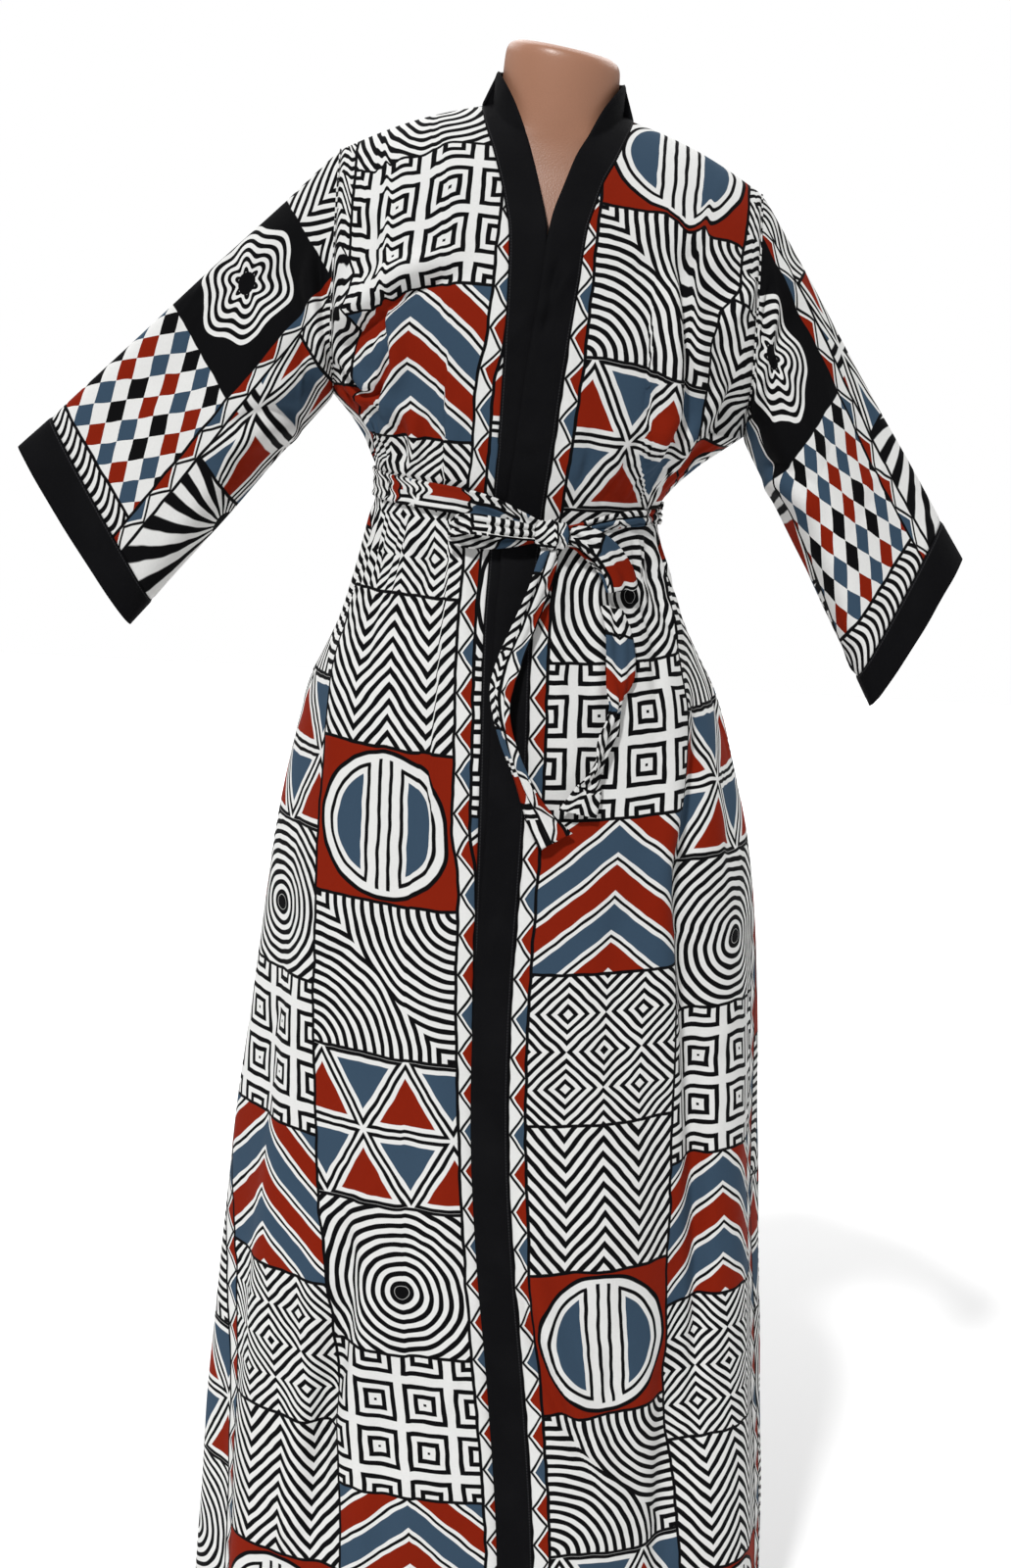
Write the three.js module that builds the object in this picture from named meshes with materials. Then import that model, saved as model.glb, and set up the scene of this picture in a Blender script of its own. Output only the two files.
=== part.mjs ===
// A printed cotton kimono robe, open at the front and tied with a sash, on a limbless dress form.
// Millimetres, +Z up. The robe faces -Y and the wearer's left is +X. The origin is on the floor, under the
// form's pole. Each piece of cloth is a closed wall worked out from rings and short tables of sizes.
import * as THREE from 'three';

// ---- Driving dimensions -------------------------------------------------------------------------
const hemZ = 60;            // the hem hangs clear of the base
const waistZ = 1215;        // the sash's middle at the sides
const armpitZ = 1299;
const neckPointZ = 1582;    // where shoulder seam and neck seam meet
const neckPointX = 72;
const shoulderTipX = 202;
const shoulderDrop = 0.415; // fall of the shoulder seam for each millimetre outwards
const shoulderArch = 6;     // rise of the shoulder seam over a straight line, halfway along
const napeRise = 5;         // the back neck seam above the neck points
const napeY = 64;           // centre back of the neck seam
const lean = { degrees: 3, from: 1135, over: 150 };   // to its left above the waist, and where it sets in
const clothHalf = 0.8;      // half the thickness of a cloth wall
const seamGap = 0.4;        // gap left at each seam
const bandWidth = 35;
const cuffWidth = 37;
const sashWidth = 24;

// How far the right front lies under the left one, the height at which they part, and how the set-in
// fades below that height and away from the lap.
const lap = { inset: 3.6, top: 1525, fade: 50, flat: 20, over: 110, gap: 0.5 };
// The robe's section above the armpits: half width and roundness just above them and further up.
const chest = { reach: 200, reachAbove: 224, round: 1.75, roundAbove: 2, opens: 0.3 };
// How deep the chest and the back stand there, and how squarely they turn in to the shoulder line.
const chestFront = { deep: 136, deepAbove: 139, arch: 2.2, flat: 1.5 };
const chestBack = { deep: 103, deepAbove: 109, arch: 3.6, flat: 1.5, flatFrom: 45, flatOver: 45 };
const neckSlope = 0.28;     // fall of the shoulder line where it is carried on across the neck
// The collar stands round the neck: radius on which the band lies, where it bends on to that, how far
// its seam is lifted off the neck seam, its free edge, and that edge's height at the sides and the back.
const collar = {
  radius: 61, from: 1525, over: 40, lift: 1.5, edgeX: 59.5, edgeY: 59, high: 32, highBack: 39,
};

// ---- Short tables of sizes ----------------------------------------------------------------------
// Rings of the robe below the arms: half width, depth to the front and back, roundness, centre.
const robeRings = [
  { z: 60,   side: 298, front: 209, back: 194, round: 2.0, middle: 17 },
  { z: 155,  side: 294, front: 206, back: 191, round: 2.0, middle: 16 },
  { z: 245,  side: 289, front: 203, back: 188, round: 2.0, middle: 14 },
  { z: 415,  side: 278, front: 199, back: 186, round: 2.0, middle: 12 },
  { z: 585,  side: 265, front: 193, back: 184, round: 2.0, middle: 11 },
  { z: 685,  side: 258, front: 188, back: 182, round: 2.0, middle: 12 },
  { z: 800,  side: 247, front: 180, back: 179, round: 2.05, middle: 12 },
  { z: 885,  side: 236, front: 171, back: 174, round: 2.1, middle: 10 },
  { z: 970,  side: 218, front: 160, back: 166, round: 2.15, middle: 6 },
  { z: 1030, side: 201, front: 149, back: 155, round: 2.2, middle: 4 },
  { z: 1085, side: 175, front: 136, back: 136, round: 2.2, middle: 1 },
  { z: 1125, side: 159, front: 127, back: 119, round: 2.2, middle: -2 },
  { z: 1165, side: 146, front: 120, back: 105, round: 2.2, middle: -3 },
  { z: 1215, side: 137, front: 114, back: 95,  round: 2.2, middle: -3 },
  { z: 1240, side: 144, front: 119, back: 97,  round: 2.15, middle: 0 },
  { z: 1265, side: 161, front: 127, back: 99,  round: 2.0, middle: 5 },
  { z: 1299, side: 200, front: 136, back: 103, round: 1.75, middle: 9 },
];
const shoulderMiddle = -3;  // the centre's x at the shoulders, as the rings' column of that name

// Soft folds of the skirt: place round the robe in degrees from centre front (plus is the wearer's left),
// how far the fold wanders by the hem, its half width in degrees, its height at the hem (minus is a
// hollow), and where it starts.
const skirtFolds = [
  { at: 24,  wander: -3, wide: 8, high: 5,   top: 1065 },
  { at: 45,  wander: -2, wide: 7, high: -12, top: 1135 },
  { at: 58,  wander: 2,  wide: 8, high: 9,   top: 1125 },
  { at: 76,  wander: 3,  wide: 8, high: -6,  top: 1085 },
  { at: -27, wander: 4,  wide: 7, high: 5,   top: 985 },
  { at: -37, wander: 6,  wide: 6, high: -9,  top: 515 },
  { at: -50, wander: -4, wide: 8, high: 7,   top: 1105 },
  { at: -63, wander: -3, wide: 7, high: -8,  top: 1125 },
  { at: -77, wander: -2, wide: 7, high: 6,   top: 1085 },
  { at: 101, wander: 2,  wide: 8, high: 7,   top: 1125 },
  { at: 117, wander: 3,  wide: 8, high: -9,  top: 1145 },
  { at: 133, wander: -2, wide: 8, high: 9,   top: 1135 },
  { at: 150, wander: 2,  wide: 8, high: -10, top: 1155 },
  { at: 166, wander: -3, wide: 7, high: 8,   top: 1145 },
  { at: 182, wander: 2,  wide: 8, high: -7,  top: 1155 },
  { at: 198, wander: 3,  wide: 8, high: 10,  top: 1135 },
  { at: 215, wander: -2, wide: 8, high: -10, top: 1145 },
  { at: 232, wander: 2,  wide: 8, high: 8,   top: 1135 },
  { at: 248, wander: -3, wide: 7, high: -8,  top: 1125 },
  { at: 261, wander: 1,  wide: 7, high: 5,   top: 1105 },
];

// Folds of the sleeves: place round the tube in degrees from the underarm over the front, half width,
// height, and the share of the sleeve's length at its middle and over which it fades.
const sleeveFolds = [
  { at: 30,  wide: 22, high: -6, middle: 0.25, reach: 0.25 },
  { at: 62,  wide: 20, high: 6,  middle: 0.3,  reach: 0.3 },
  { at: 120, wide: 24, high: -5, middle: 0.55, reach: 0.35 },
  { at: 238, wide: 24, high: -6, middle: 0.4,  reach: 0.35 },
  { at: 300, wide: 22, high: 6,  middle: 0.3,  reach: 0.3 },
  { at: 333, wide: 20, high: -5, middle: 0.3,  reach: 0.25 },
];

const foldGrowth = 1.6;     // a fold has its full height this much before the hem

// Gathers that the sash pulls in, above and below the waist. None is at the lap or under the sash.
const gather = {
  count: 26, high: 2.2, below: 1155, above: 1261, reachBelow: 40, reachAbove: 22, shareAbove: 0.7,
  lap: 22, sash: 14, clear: 22,
};

// The seam between each front and its band: its x at each height. The left front laps over the right.
const leftSeam = [
  { z: 60, x: 72 },   { z: 215, x: 65 },  { z: 382, x: 47 },  { z: 495, x: 32 },  { z: 620, x: 20 },
  { z: 750, x: 16 },  { z: 954, x: 19 },  { z: 1104, x: 17 }, { z: 1172, x: 20 }, { z: 1257, x: 24 },
  { z: 1343, x: 27 }, { z: 1428, x: 32 }, { z: 1477, x: 35 }, { z: 1499, x: 40 }, { z: 1522, x: 46 },
  { z: 1542, x: 55 }, { z: 1565, x: 63.5 }, { z: 1582, x: 69 },
];
const rightSeam = [
  { z: 60, x: 43 },   { z: 215, x: 36 },  { z: 382, x: 16 },  { z: 495, x: 2 },   { z: 620, x: -10 },
  { z: 750, x: -19 }, { z: 954, x: -24 }, { z: 1104, x: -28 }, { z: 1172, x: -26 }, { z: 1257, x: -26 },
  { z: 1343, x: -29 }, { z: 1428, x: -33 }, { z: 1471, x: -37 }, { z: 1490, x: -42 }, { z: 1513, x: -49 },
  { z: 1540, x: -59 }, { z: 1563, x: -69 }, { z: 1582, x: -75 },
];

// How far in from its seam, and up, the band's free edge lies, by the seam's height.
const bandReach = [
  { z: 1385, inward: 35, up: 0 },  { z: 1425, inward: 35, up: 1 },  { z: 1471, inward: 34, up: 8 },
  { z: 1514, inward: 29, up: 19 }, { z: 1542, inward: 27, up: 22 }, { z: 1564, inward: 23, up: 26 },
  { z: 1582, inward: 12.5, up: 32 },
];

// The dress form: rings from its flat underside to the flat top of its neck.
const formRings = [
  { z: 885,  side: 148, front: 92,  back: 106, round: 2.2 },
  { z: 897,  side: 158, front: 98,  back: 114, round: 2.2 },
  { z: 935,  side: 167, front: 104, back: 122, round: 2.2 },
  { z: 990,  side: 168, front: 106, back: 124, round: 2.2 },
  { z: 1045,  side: 157, front: 103, back: 113, round: 2.2 },
  { z: 1105, side: 139, front: 98,  back: 96,  round: 2.2 },
  { z: 1165, side: 124, front: 95,  back: 82,  round: 2.2 },
  { z: 1215, side: 119, front: 93,  back: 78,  round: 2.2 },
  { z: 1255, side: 122, front: 98,  back: 81,  round: 2.2 },
  { z: 1299, side: 132, front: 112, back: 87,  round: 2.2 },
  { z: 1340, side: 140, front: 121, back: 91,  round: 2.2 },
  { z: 1385, side: 149, front: 115, back: 95,  round: 2.2 },
  { z: 1428, side: 160, front: 102, back: 95,  round: 2.2 },
  { z: 1471, side: 169, front: 85,  back: 86,  round: 2.2 },
  { z: 1500, side: 171, front: 72,  back: 76,  round: 2.2 },
  { z: 1525, side: 163, front: 61,  back: 66,  round: 2.1 },
  { z: 1541, side: 136, front: 56,  back: 60,  round: 2.0 },
  { z: 1554, side: 102, front: 53,  back: 57,  round: 2.0 },
  { z: 1565, side: 74,  front: 52,  back: 56,  round: 2.0 },
  { z: 1575, side: 61,  front: 52,  back: 55,  round: 2.0 },
  { z: 1590, side: 56,  front: 52,  back: 53,  round: 2.0 },
  { z: 1627, side: 55,  front: 51,  back: 52,  round: 2.0 },
  { z: 1637, side: 52,  front: 48,  back: 49,  round: 2.0 },
  { z: 1641, side: 45,  front: 42,  back: 43,  round: 2.0 },
];
// The neck's flat top falls towards the wearer's left. The shoulders are off centre.
const formCap = { slant: 0.11, from: 1585, over: 60 };
const formShoulders = { from: 1385, over: 100 };
const pole = { radius: 14, top: 884.7, bottom: 24.3 };
const base = { radius: 160, edge: 8, top: 24, domeRadius: 60, domeTop: 20, socketRadius: 20 };

// Each sleeve's cuff end: centre, the line from underarm to top across it, half width along that line,
// how far that line turns back at its top in degrees, and half depth.
const sleeveEnds = {
  right: { side: -1, end: [-428, -22, 1137], line: [-0.612, 0.791], half: 100, turn: 6, deep: 27 },
  left:  { side: 1,  end: [399, -18, 1129],  line: [0.485, 0.874],  half: 90, turn: 26, deep: 24 },
};
const sleeveRoot = { x: 201, z: 1415 };   // the armhole's middle

// The sash's loops and free ends: place on the robe's front, how far off it the strip's middle lies, the
// slope of the strip's width in degrees from level, and how far that width tips towards the cloth.
const sashStrips = {
  loop_right: [
    { x: 15, z: 1195, out: 12, lie: 92, tip: 0 },    { x: -8, z: 1195, out: 16, lie: 92, tip: 6 },
    { x: -38, z: 1194, out: 16, lie: 93, tip: 6 },   { x: -57, z: 1193, out: 13.5, lie: 94, tip: 0 },
    { x: -62, z: 1193, out: 9.8, lie: 94, tip: 0 },  { x: -56, z: 1193, out: 6.4, lie: 94, tip: 0 },
    { x: -34, z: 1194, out: 5.4, lie: 93, tip: 0 },  { x: -6, z: 1195, out: 5.4, lie: 92, tip: 0 },
    { x: 15, z: 1195, out: 5.6, lie: 92, tip: 0 },
  ],
  loop_left: [
    { x: 48.5, z: 1197, out: 12, lie: 78, tip: 0 },   { x: 64, z: 1195, out: 19, lie: 62, tip: -8 },
    { x: 82, z: 1183, out: 21, lie: 38, tip: -12 },   { x: 96, z: 1164, out: 18, lie: 18, tip: -8 },
    { x: 101, z: 1147, out: 13, lie: 8, tip: 0 },     { x: 99, z: 1147, out: 8, lie: 8, tip: 0 },
    { x: 92, z: 1163, out: 7, lie: 20, tip: 0 },      { x: 78, z: 1179, out: 7, lie: 40, tip: 0 },
    { x: 62, z: 1190, out: 6.5, lie: 62, tip: 0 },    { x: 48.5, z: 1194, out: 6, lie: 78, tip: 0 },
  ],
  tail_right: [
    { x: 31, z: 1181, out: 11, lie: 5, tip: 20 },    { x: 24, z: 1151, out: 13, lie: 12, tip: 30 },
    { x: 10, z: 1111, out: 12, lie: 18, tip: 10 },   { x: -4, z: 1073, out: 9, lie: 14, tip: -10 },
    { x: -9, z: 1040, out: 12, lie: 0, tip: -45 },    { x: 0, z: 1003, out: 13, lie: -18, tip: -50 },
    { x: 15, z: 969, out: 12, lie: -28, tip: -35 },  { x: 32, z: 939, out: 9, lie: -34, tip: -10 },
    { x: 50, z: 914, out: 8, lie: -38, tip: 5 },
  ],
  tail_left: [
    { x: 92, z: 1129, out: 9, lie: -16, tip: 5 },    { x: 100, z: 1103, out: 10, lie: -10, tip: 10 },
    { x: 103, z: 1070, out: 9, lie: 0, tip: 5 },      { x: 101, z: 1043, out: 12, lie: 6, tip: 50 },
    { x: 94, z: 1015, out: 12, lie: 12, tip: 40 },    { x: 86, z: 987, out: 13, lie: 14, tip: 60 },
    { x: 78, z: 965, out: 10, lie: 18, tip: 20 },    { x: 69, z: 940, out: 9, lie: 22, tip: 5 },
  ],
};
const stripWidth = 22;
const stripHalf = 1;        // a strip of the sash is folded double, so it is thicker
const knot = { x: 31.5, z: 1196, wide: 30, high: 27, deep: 17, out: 12.4, square: 2.6, end: 0.96 };
// The sash's middle line: its height, its fall to the left, its dip at the knot, the half width and depth
// of the oval that it follows, and how far it stands off the robe.
const sash = { z: 1217.5, slope: 0.036, dip: 20, dipReach: 46, side: 137, deep: 105, off: 2.7 };

const paint = {
  print: { color: 0xd9d8d4, roughness: 0.85, metalness: 0 },
  trim: { color: 0x15161a, roughness: 0.8, metalness: 0 },
  form: { color: 0xb08066, roughness: 0.35, metalness: 0 },
  stand: { color: 0x2b2c2e, roughness: 0.4, metalness: 0.7 },
};

// ---- Small helpers ------------------------------------------------------------------------------
const radians = (degrees) => degrees * Math.PI / 180;
const mix = (a, b, t) => a + (b - a) * t;
const clamp = (v, low = 0, high = 1) => Math.min(high, Math.max(low, v));
const smooth = (t) => clamp(t) ** 2 * (3 - 2 * clamp(t));
const signedPower = (v, p) => Math.sign(v) * Math.abs(v) ** p;
const steps = (count) => Array.from({ length: count + 1 }, (_, i) => i / count);
const bump = (off, reach) => Math.exp(-((off / reach) ** 2));
const add = (p, d, k = 1) => [p[0] + d.x * k, p[1] + d.y * k, p[2] + d.z * k];
const between = (a, b, t) => a.map((v, k) => mix(v, b[k], t));

// A column of a table at height z, on a smooth curve through its rows.
function lookUp(table, column, z) {
  const last = table.length - 1;
  let i = 0;
  while (i < last - 1 && z > table[i + 1].z) i += 1;
  const [a, b] = [table[i], table[i + 1]];
  const before = table[Math.max(0, i - 1)];
  const after = table[Math.min(last, i + 2)];
  const span = b.z - a.z;
  const t = clamp((z - a.z) / span);
  const slopeA = (b[column] - before[column]) / (b.z - before.z) * span;
  const slopeB = (after[column] - a[column]) / (after.z - a.z) * span;
  return (2 * t ** 3 - 3 * t ** 2 + 1) * a[column] + (t ** 3 - 2 * t ** 2 + t) * slopeA
    + (3 * t ** 2 - 2 * t ** 3) * b[column] + (t ** 3 - t ** 2) * slopeB;
}

// Above the waist everything leans towards +X, turning about the waist. The sleeves turn as one.
function leaned([x, y, z], whole) {
  const turn = radians(lean.degrees) * (whole ? 1 : smooth((z - lean.from) / lean.over));
  const up = z - waistZ;
  return [x * Math.cos(turn) + up * Math.sin(turn), y, waistZ + up * Math.cos(turn) - x * Math.sin(turn)];
}

// ---- Closed solids from grids of points ---------------------------------------------------------
// A geometry with its faces turned outwards, leaned as the whole object is.
function solidFrom(points, faces, whole = false) {
  const placed = points.map((p) => leaned(p, whole));
  let volume = 0;
  for (const [a, b, c] of faces) {
    const [p, q, r] = [placed[a], placed[b], placed[c]].map((v) => new THREE.Vector3(...v));
    volume += p.dot(q.cross(r));
  }
  const turned = volume < 0 ? faces.map(([a, b, c]) => [a, c, b]) : faces;
  const geometry = new THREE.BufferGeometry();
  geometry.setAttribute('position', new THREE.Float32BufferAttribute(placed.flat(), 3));
  geometry.setIndex(turned.flat());
  geometry.computeVertexNormals();
  return geometry;
}

// The unit normals of a grid of points, each from its neighbours.
function normalsOf(grid, closed = false) {
  const [rows, columns] = [grid.length, grid[0].length];
  const at = (i, j) => {
    const column = closed ? (j + columns) % columns : clamp(j, 0, columns - 1);
    return new THREE.Vector3(...grid[clamp(i, 0, rows - 1)][column]);
  };
  return grid.map((row, i) => row.map((_, j) => at(i, j + 1).sub(at(i, j - 1))
    .cross(at(i + 1, j).sub(at(i - 1, j))).normalize()));
}

// A wall of cloth about a grid of points: two skins, closed by a rim at each open edge.
function wall(grid, { normals, half = clothHalf, closed = false, whole = false } = {}) {
  const [rows, columns] = [grid.length, grid[0].length];
  const directions = normals ?? normalsOf(grid, closed);
  const skin = (side) => grid.flatMap((row, i) => row.map((p, j) => add(p, directions[i][j], half * side)));
  const outer = (i, j) => i * columns + (j % columns);
  const inner = (i, j) => rows * columns + outer(i, j);
  const faces = [];
  const quad = (a, b, c, d) => faces.push([a, b, c], [a, c, d]);
  const spans = closed ? columns : columns - 1;
  for (let i = 0; i < rows - 1; i += 1) {
    for (let j = 0; j < spans; j += 1) {
      quad(outer(i, j), outer(i, j + 1), outer(i + 1, j + 1), outer(i + 1, j));
      quad(inner(i, j), inner(i + 1, j), inner(i + 1, j + 1), inner(i, j + 1));
    }
    if (!closed) {
      quad(outer(i, 0), outer(i + 1, 0), inner(i + 1, 0), inner(i, 0));
      quad(outer(i, spans), inner(i, spans), inner(i + 1, spans), outer(i + 1, spans));
    }
  }
  for (let j = 0; j < spans; j += 1) {
    quad(outer(0, j), inner(0, j), inner(0, j + 1), outer(0, j + 1));
    quad(outer(rows - 1, j), outer(rows - 1, j + 1), inner(rows - 1, j + 1), inner(rows - 1, j));
  }
  return solidFrom([...skin(1), ...skin(-1)], faces, whole);
}

// A filled solid through closed rings of points, with a flat fan at each end.
function loft(rings) {
  const count = rings[0].length;
  const points = rings.flat();
  const faces = [];
  for (let i = 0; i < rings.length - 1; i += 1) {
    for (let j = 0; j < count; j += 1) {
      const [a, b] = [i * count + j, i * count + (j + 1) % count];
      faces.push([a, b, b + count], [a, b + count, a + count]);
    }
  }
  [0, rings.length - 1].forEach((ring) => {
    const middle = [0, 1, 2].map((k) => rings[ring].reduce((sum, p) => sum + p[k], 0) / count);
    const hub = points.push(middle) - 1;
    for (let j = 0; j < count; j += 1) {
      const [a, b] = [ring * count + j, ring * count + (j + 1) % count];
      faces.push(ring === 0 ? [hub, b, a] : [hub, a, b]);
    }
  });
  return solidFrom(points, faces);
}

// ---- The robe's own surface ---------------------------------------------------------------------
// The sash's middle line dips towards the knot in front.
const sashZ = (x) => sash.z - sash.slope * x - sash.dip * bump(x - knot.x, sash.dipReach);

// How far folds and gathers lift the cloth, at an angle round the robe and a height.
function foldHeight(angle, z) {
  const degrees = THREE.MathUtils.euclideanModulo(angle * 180 / Math.PI + 90, 360) - 90;
  let sum = 0;
  for (const fold of skirtFolds) {
    const grown = clamp((fold.top - z) / (fold.top - hemZ));
    sum += fold.high * smooth(grown * foldGrowth) * bump(degrees - fold.at - fold.wander * grown, fold.wide);
  }
  const awayFromLap = 1 - bump(degrees, gather.lap);
  const pulled = bump(z - gather.below, gather.reachBelow)
    + gather.shareAbove * bump(z - gather.above, gather.reachAbove);
  const clearOfSash = smooth((Math.abs(z - waistZ) - gather.sash) / gather.clear);
  return sum + gather.high * awayFromLap * pulled * clearOfSash * Math.cos(gather.count * angle);
}

// A point of the robe below the arms, at an angle from centre front and a height.
function skirtPoint(angle, z, height = foldHeight(angle, z)) {
  const [side, front, back, round, middle] = ['side', 'front', 'back', 'round', 'middle']
    .map((column) => lookUp(robeRings, column, z));
  const x = side * signedPower(Math.sin(angle), 2 / round);
  const y = -(Math.cos(angle) > 0 ? front : back) * signedPower(Math.cos(angle), 2 / round);
  const lifted = 1 + height / Math.hypot(x, y);
  return [middle + x * lifted, y * lifted, z];
}

// The angle at which the front passes x at height z, by halving the span that holds it.
function angleAt(x, z, height) {
  let [low, high] = [-Math.PI / 2, Math.PI / 2];
  for (let pass = 0; pass < 24; pass += 1) {
    const middle = (low + high) / 2;
    if (skirtPoint(middle, z, height)[0] < x) low = middle;
    else high = middle;
  }
  return (low + high) / 2;
}

// The ridge that the shoulder seams follow, carried on across the neck.
const ridgeZ = (x) => {
  const beyond = Math.abs(x) - neckPointX;
  const arched = shoulderArch * Math.sin(clamp(beyond / (shoulderTipX - neckPointX)) * Math.PI);
  return neckPointZ - beyond * (beyond > 0 ? shoulderDrop : neckSlope) + arched;
};

const chestMiddle = (t) => mix(robeRings.at(-1).middle, shoulderMiddle, t);

// How far the robe stands from the shoulder line above the arms: t runs from the armpit to the ridge.
function chestDepth(x, t, size, flat = size.flat, topY = 0) {
  const opened = smooth(t / chest.opens);
  const reach = mix(chest.reach, chest.reachAbove, opened);
  const round = mix(chest.round, chest.roundAbove, opened);
  const full = mix(size.deep, size.deepAbove, opened);
  const level = full * Math.max(0, 1 - Math.abs(x / reach) ** round) ** (1 / round);
  return topY + (level - topY) * Math.max(0, 1 - t ** size.arch) ** (1 / flat);
}

const frontDepth = (x, t) => chestDepth(x, t, chestFront);

// The robe's front at a place and height, above or below the armpits, with its folds or an even height.
function frontY(x, z, height) {
  if (z <= armpitZ) return skirtPoint(angleAt(x, z, height), z, height)[1];
  const t = clamp((z - armpitZ) / (ridgeZ(x) - armpitZ));
  return -frontDepth(x - chestMiddle(t), t);
}

// The back neck seam over x, as a share of the way from the neck points to centre back.
const neckCurve = (x) => Math.sqrt(Math.max(0, 1 - (x / neckPointX) ** 2));

function backPoint(x, t) {
  const flat = mix(1, chestBack.flat, smooth((Math.abs(x) - chestBack.flatFrom) / chestBack.flatOver));
  const topZ = Math.abs(x) < neckPointX ? neckPointZ + napeRise * neckCurve(x) : ridgeZ(x);
  const depth = chestDepth(x, t, chestBack, flat, napeY * neckCurve(x));
  return [x + chestMiddle(t), depth + seamGap / 2, mix(armpitZ, topZ, t)];
}

const armholeX = (t) => mix(chest.reach, shoulderTipX, t);

// Heights of the rows below the arms, and shares of the way from the armpit to the ridge above them.
const lowerRows = [
  hemZ, 110, 170, 240, 320, 405, 490, 575, 655, 735, 810, 885, 950, 1010, 1060, 1100, 1136, 1164, 1186,
  1203, 1217, 1231, 1250, 1274, armpitZ,
];
const upperRows = steps(11).slice(1).map((s) => Math.sin(s * Math.PI / 2) ** 1.15);

// ---- Fronts and their bands ---------------------------------------------------------------------
const frontColumns = 15;
const bandColumns = 3;
const backColumns = 30;
const neckCount = 6;

// Where the seam between front and band crosses the row a share t of the way up the chest.
function seamOnRow(seam, t) {
  let x = 0;
  for (let pass = 0; pass < 20; pass += 1) x = lookUp(seam, 'x', mix(armpitZ, ridgeZ(x), t));
  return x;
}

// The under front is set in at the lap. This fades away from the lap and where the fronts part.
const inset = (side, fromSeam, z) => (side > 0 ? 0
  : lap.inset * smooth((lap.top - z) / lap.fade) * (1 - smooth((fromSeam - lap.flat) / lap.over)));

// A band's row of points, from its seam to its free edge. Near the neck it bends round it.
function bandRow(side, seamX, z) {
  const [low] = bandReach;
  const inward = lookUp(bandReach, 'inward', Math.max(z, low.z)) * bandWidth / low.inward;
  const up = lookUp(bandReach, 'up', Math.max(z, low.z));
  return steps(bandColumns).map((s) => {
    const [x, height] = [seamX - side * inward * s, z + up * s];
    const round = Math.sqrt(Math.max(0, collar.radius ** 2 - (x - shoulderMiddle) ** 2));
    const neckY = -round * smooth((height - collar.from) / collar.over);
    return [x, Math.min(frontY(x, height), neckY) + inset(side, 0, z), height];
  });
}

// One front with its band, as rows of points from the side seam or armhole to the band's free edge.
function frontGrid(side) {
  const seam = side > 0 ? leftSeam : rightSeam;
  const rows = lowerRows.map((z) => {
    const seamX = lookUp(seam, 'x', z);
    const to = angleAt(seamX, z);
    const panel = steps(frontColumns).map((s) => {
      const [x, y] = skirtPoint(mix(side * Math.PI / 2, to, s), z);
      return [x, y - (s === 0 ? seamGap / 2 : 0) + inset(side, Math.abs(x - seamX), z), z];
    });
    return [...panel, ...bandRow(side, seamX, z).slice(1)];
  });
  const under = rows.at(-1).slice(0, frontColumns + 1).map((p) => p[0]);
  const shares = under.map((x) => (x - under.at(-1)) / (under[0] - under.at(-1)));
  upperRows.forEach((t) => {
    const seamX = seamOnRow(seam, t);
    const panel = shares.map((share) => {
      const x = mix(seamX, side * armholeX(t) + chestMiddle(t), share);
      const local = x - chestMiddle(t);
      const z = mix(armpitZ, ridgeZ(local), t);
      return [x, -frontDepth(local, t) - seamGap / 2 + inset(side, Math.abs(x - seamX), z), z];
    });
    const [start, ...band] = bandRow(side, seamX, panel.at(-1)[2]);
    const step = panel.at(-1)[1] - start[1];
    rows.push([...panel, ...band.map(([x, y, z], k) => [x, y + step * (1 - (k + 1) / bandColumns), z])]);
  });
  return rows;
}

function backGrid() {
  const rows = lowerRows.map((z) => steps(backColumns).map((s) => {
    const [x, y] = skirtPoint(mix(Math.PI / 2, 3 * Math.PI / 2, s), z);
    return [x, y + (s === 0 || s === 1 ? seamGap / 2 : 0), z];
  }));
  const middle = robeRings.at(-1).middle;
  const shares = rows.at(-1).map(([x]) => (x - middle) / chest.reach);
  return [...rows, ...upperRows.map((t) => shares.map((share) => backPoint(share * armholeX(t), t)))];
}

// Normals squared up where pieces meet: in the plane of the side and shoulder seams, and nearly in the
// plane of the armhole, so that the walls' rims lie flat against each other.
function panelNormals(grid, armholeColumns) {
  const normals = normalsOf(grid);
  const outward = Math.sign(normals[5][5].y * grid[5][5][1]) || 1;
  normals.forEach((row) => row.forEach((n) => n.multiplyScalar(outward)));
  const square = (n, kx, ky) => n.set(n.x * kx, n.y * ky, n.z).normalize();
  armholeColumns.forEach((j) => normals.forEach((row, i) => {
    if (i < lowerRows.length - 1) square(row[j], 1, 0);
    else square(row[j], 0.3, i === lowerRows.length - 1 || i === grid.length - 1 ? 0 : 1);
  }));
  normals.at(-1).forEach((n, j) => {
    if (Math.abs(grid.at(-1)[j][1]) < 1) square(n, 1, 0);
  });
  return normals;
}

// Some columns of a grid and its normals, with the edge at one side drawn back from its seam.
function cut(grid, normals, first, last, drawnBack, back = seamGap / 2) {
  const piece = grid.map((row) => row.slice(first, last + 1));
  const [at, next] = drawnBack === 'first' ? [0, 1] : [last - first, last - first - 1];
  const edged = piece.map((row) => row.map((p, j) => (j !== at ? p
    : add(p, new THREE.Vector3(...row[next]).sub(new THREE.Vector3(...p)).setLength(back)))));
  return [edged, normals.map((row) => row.slice(first, last + 1))];
}

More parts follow.
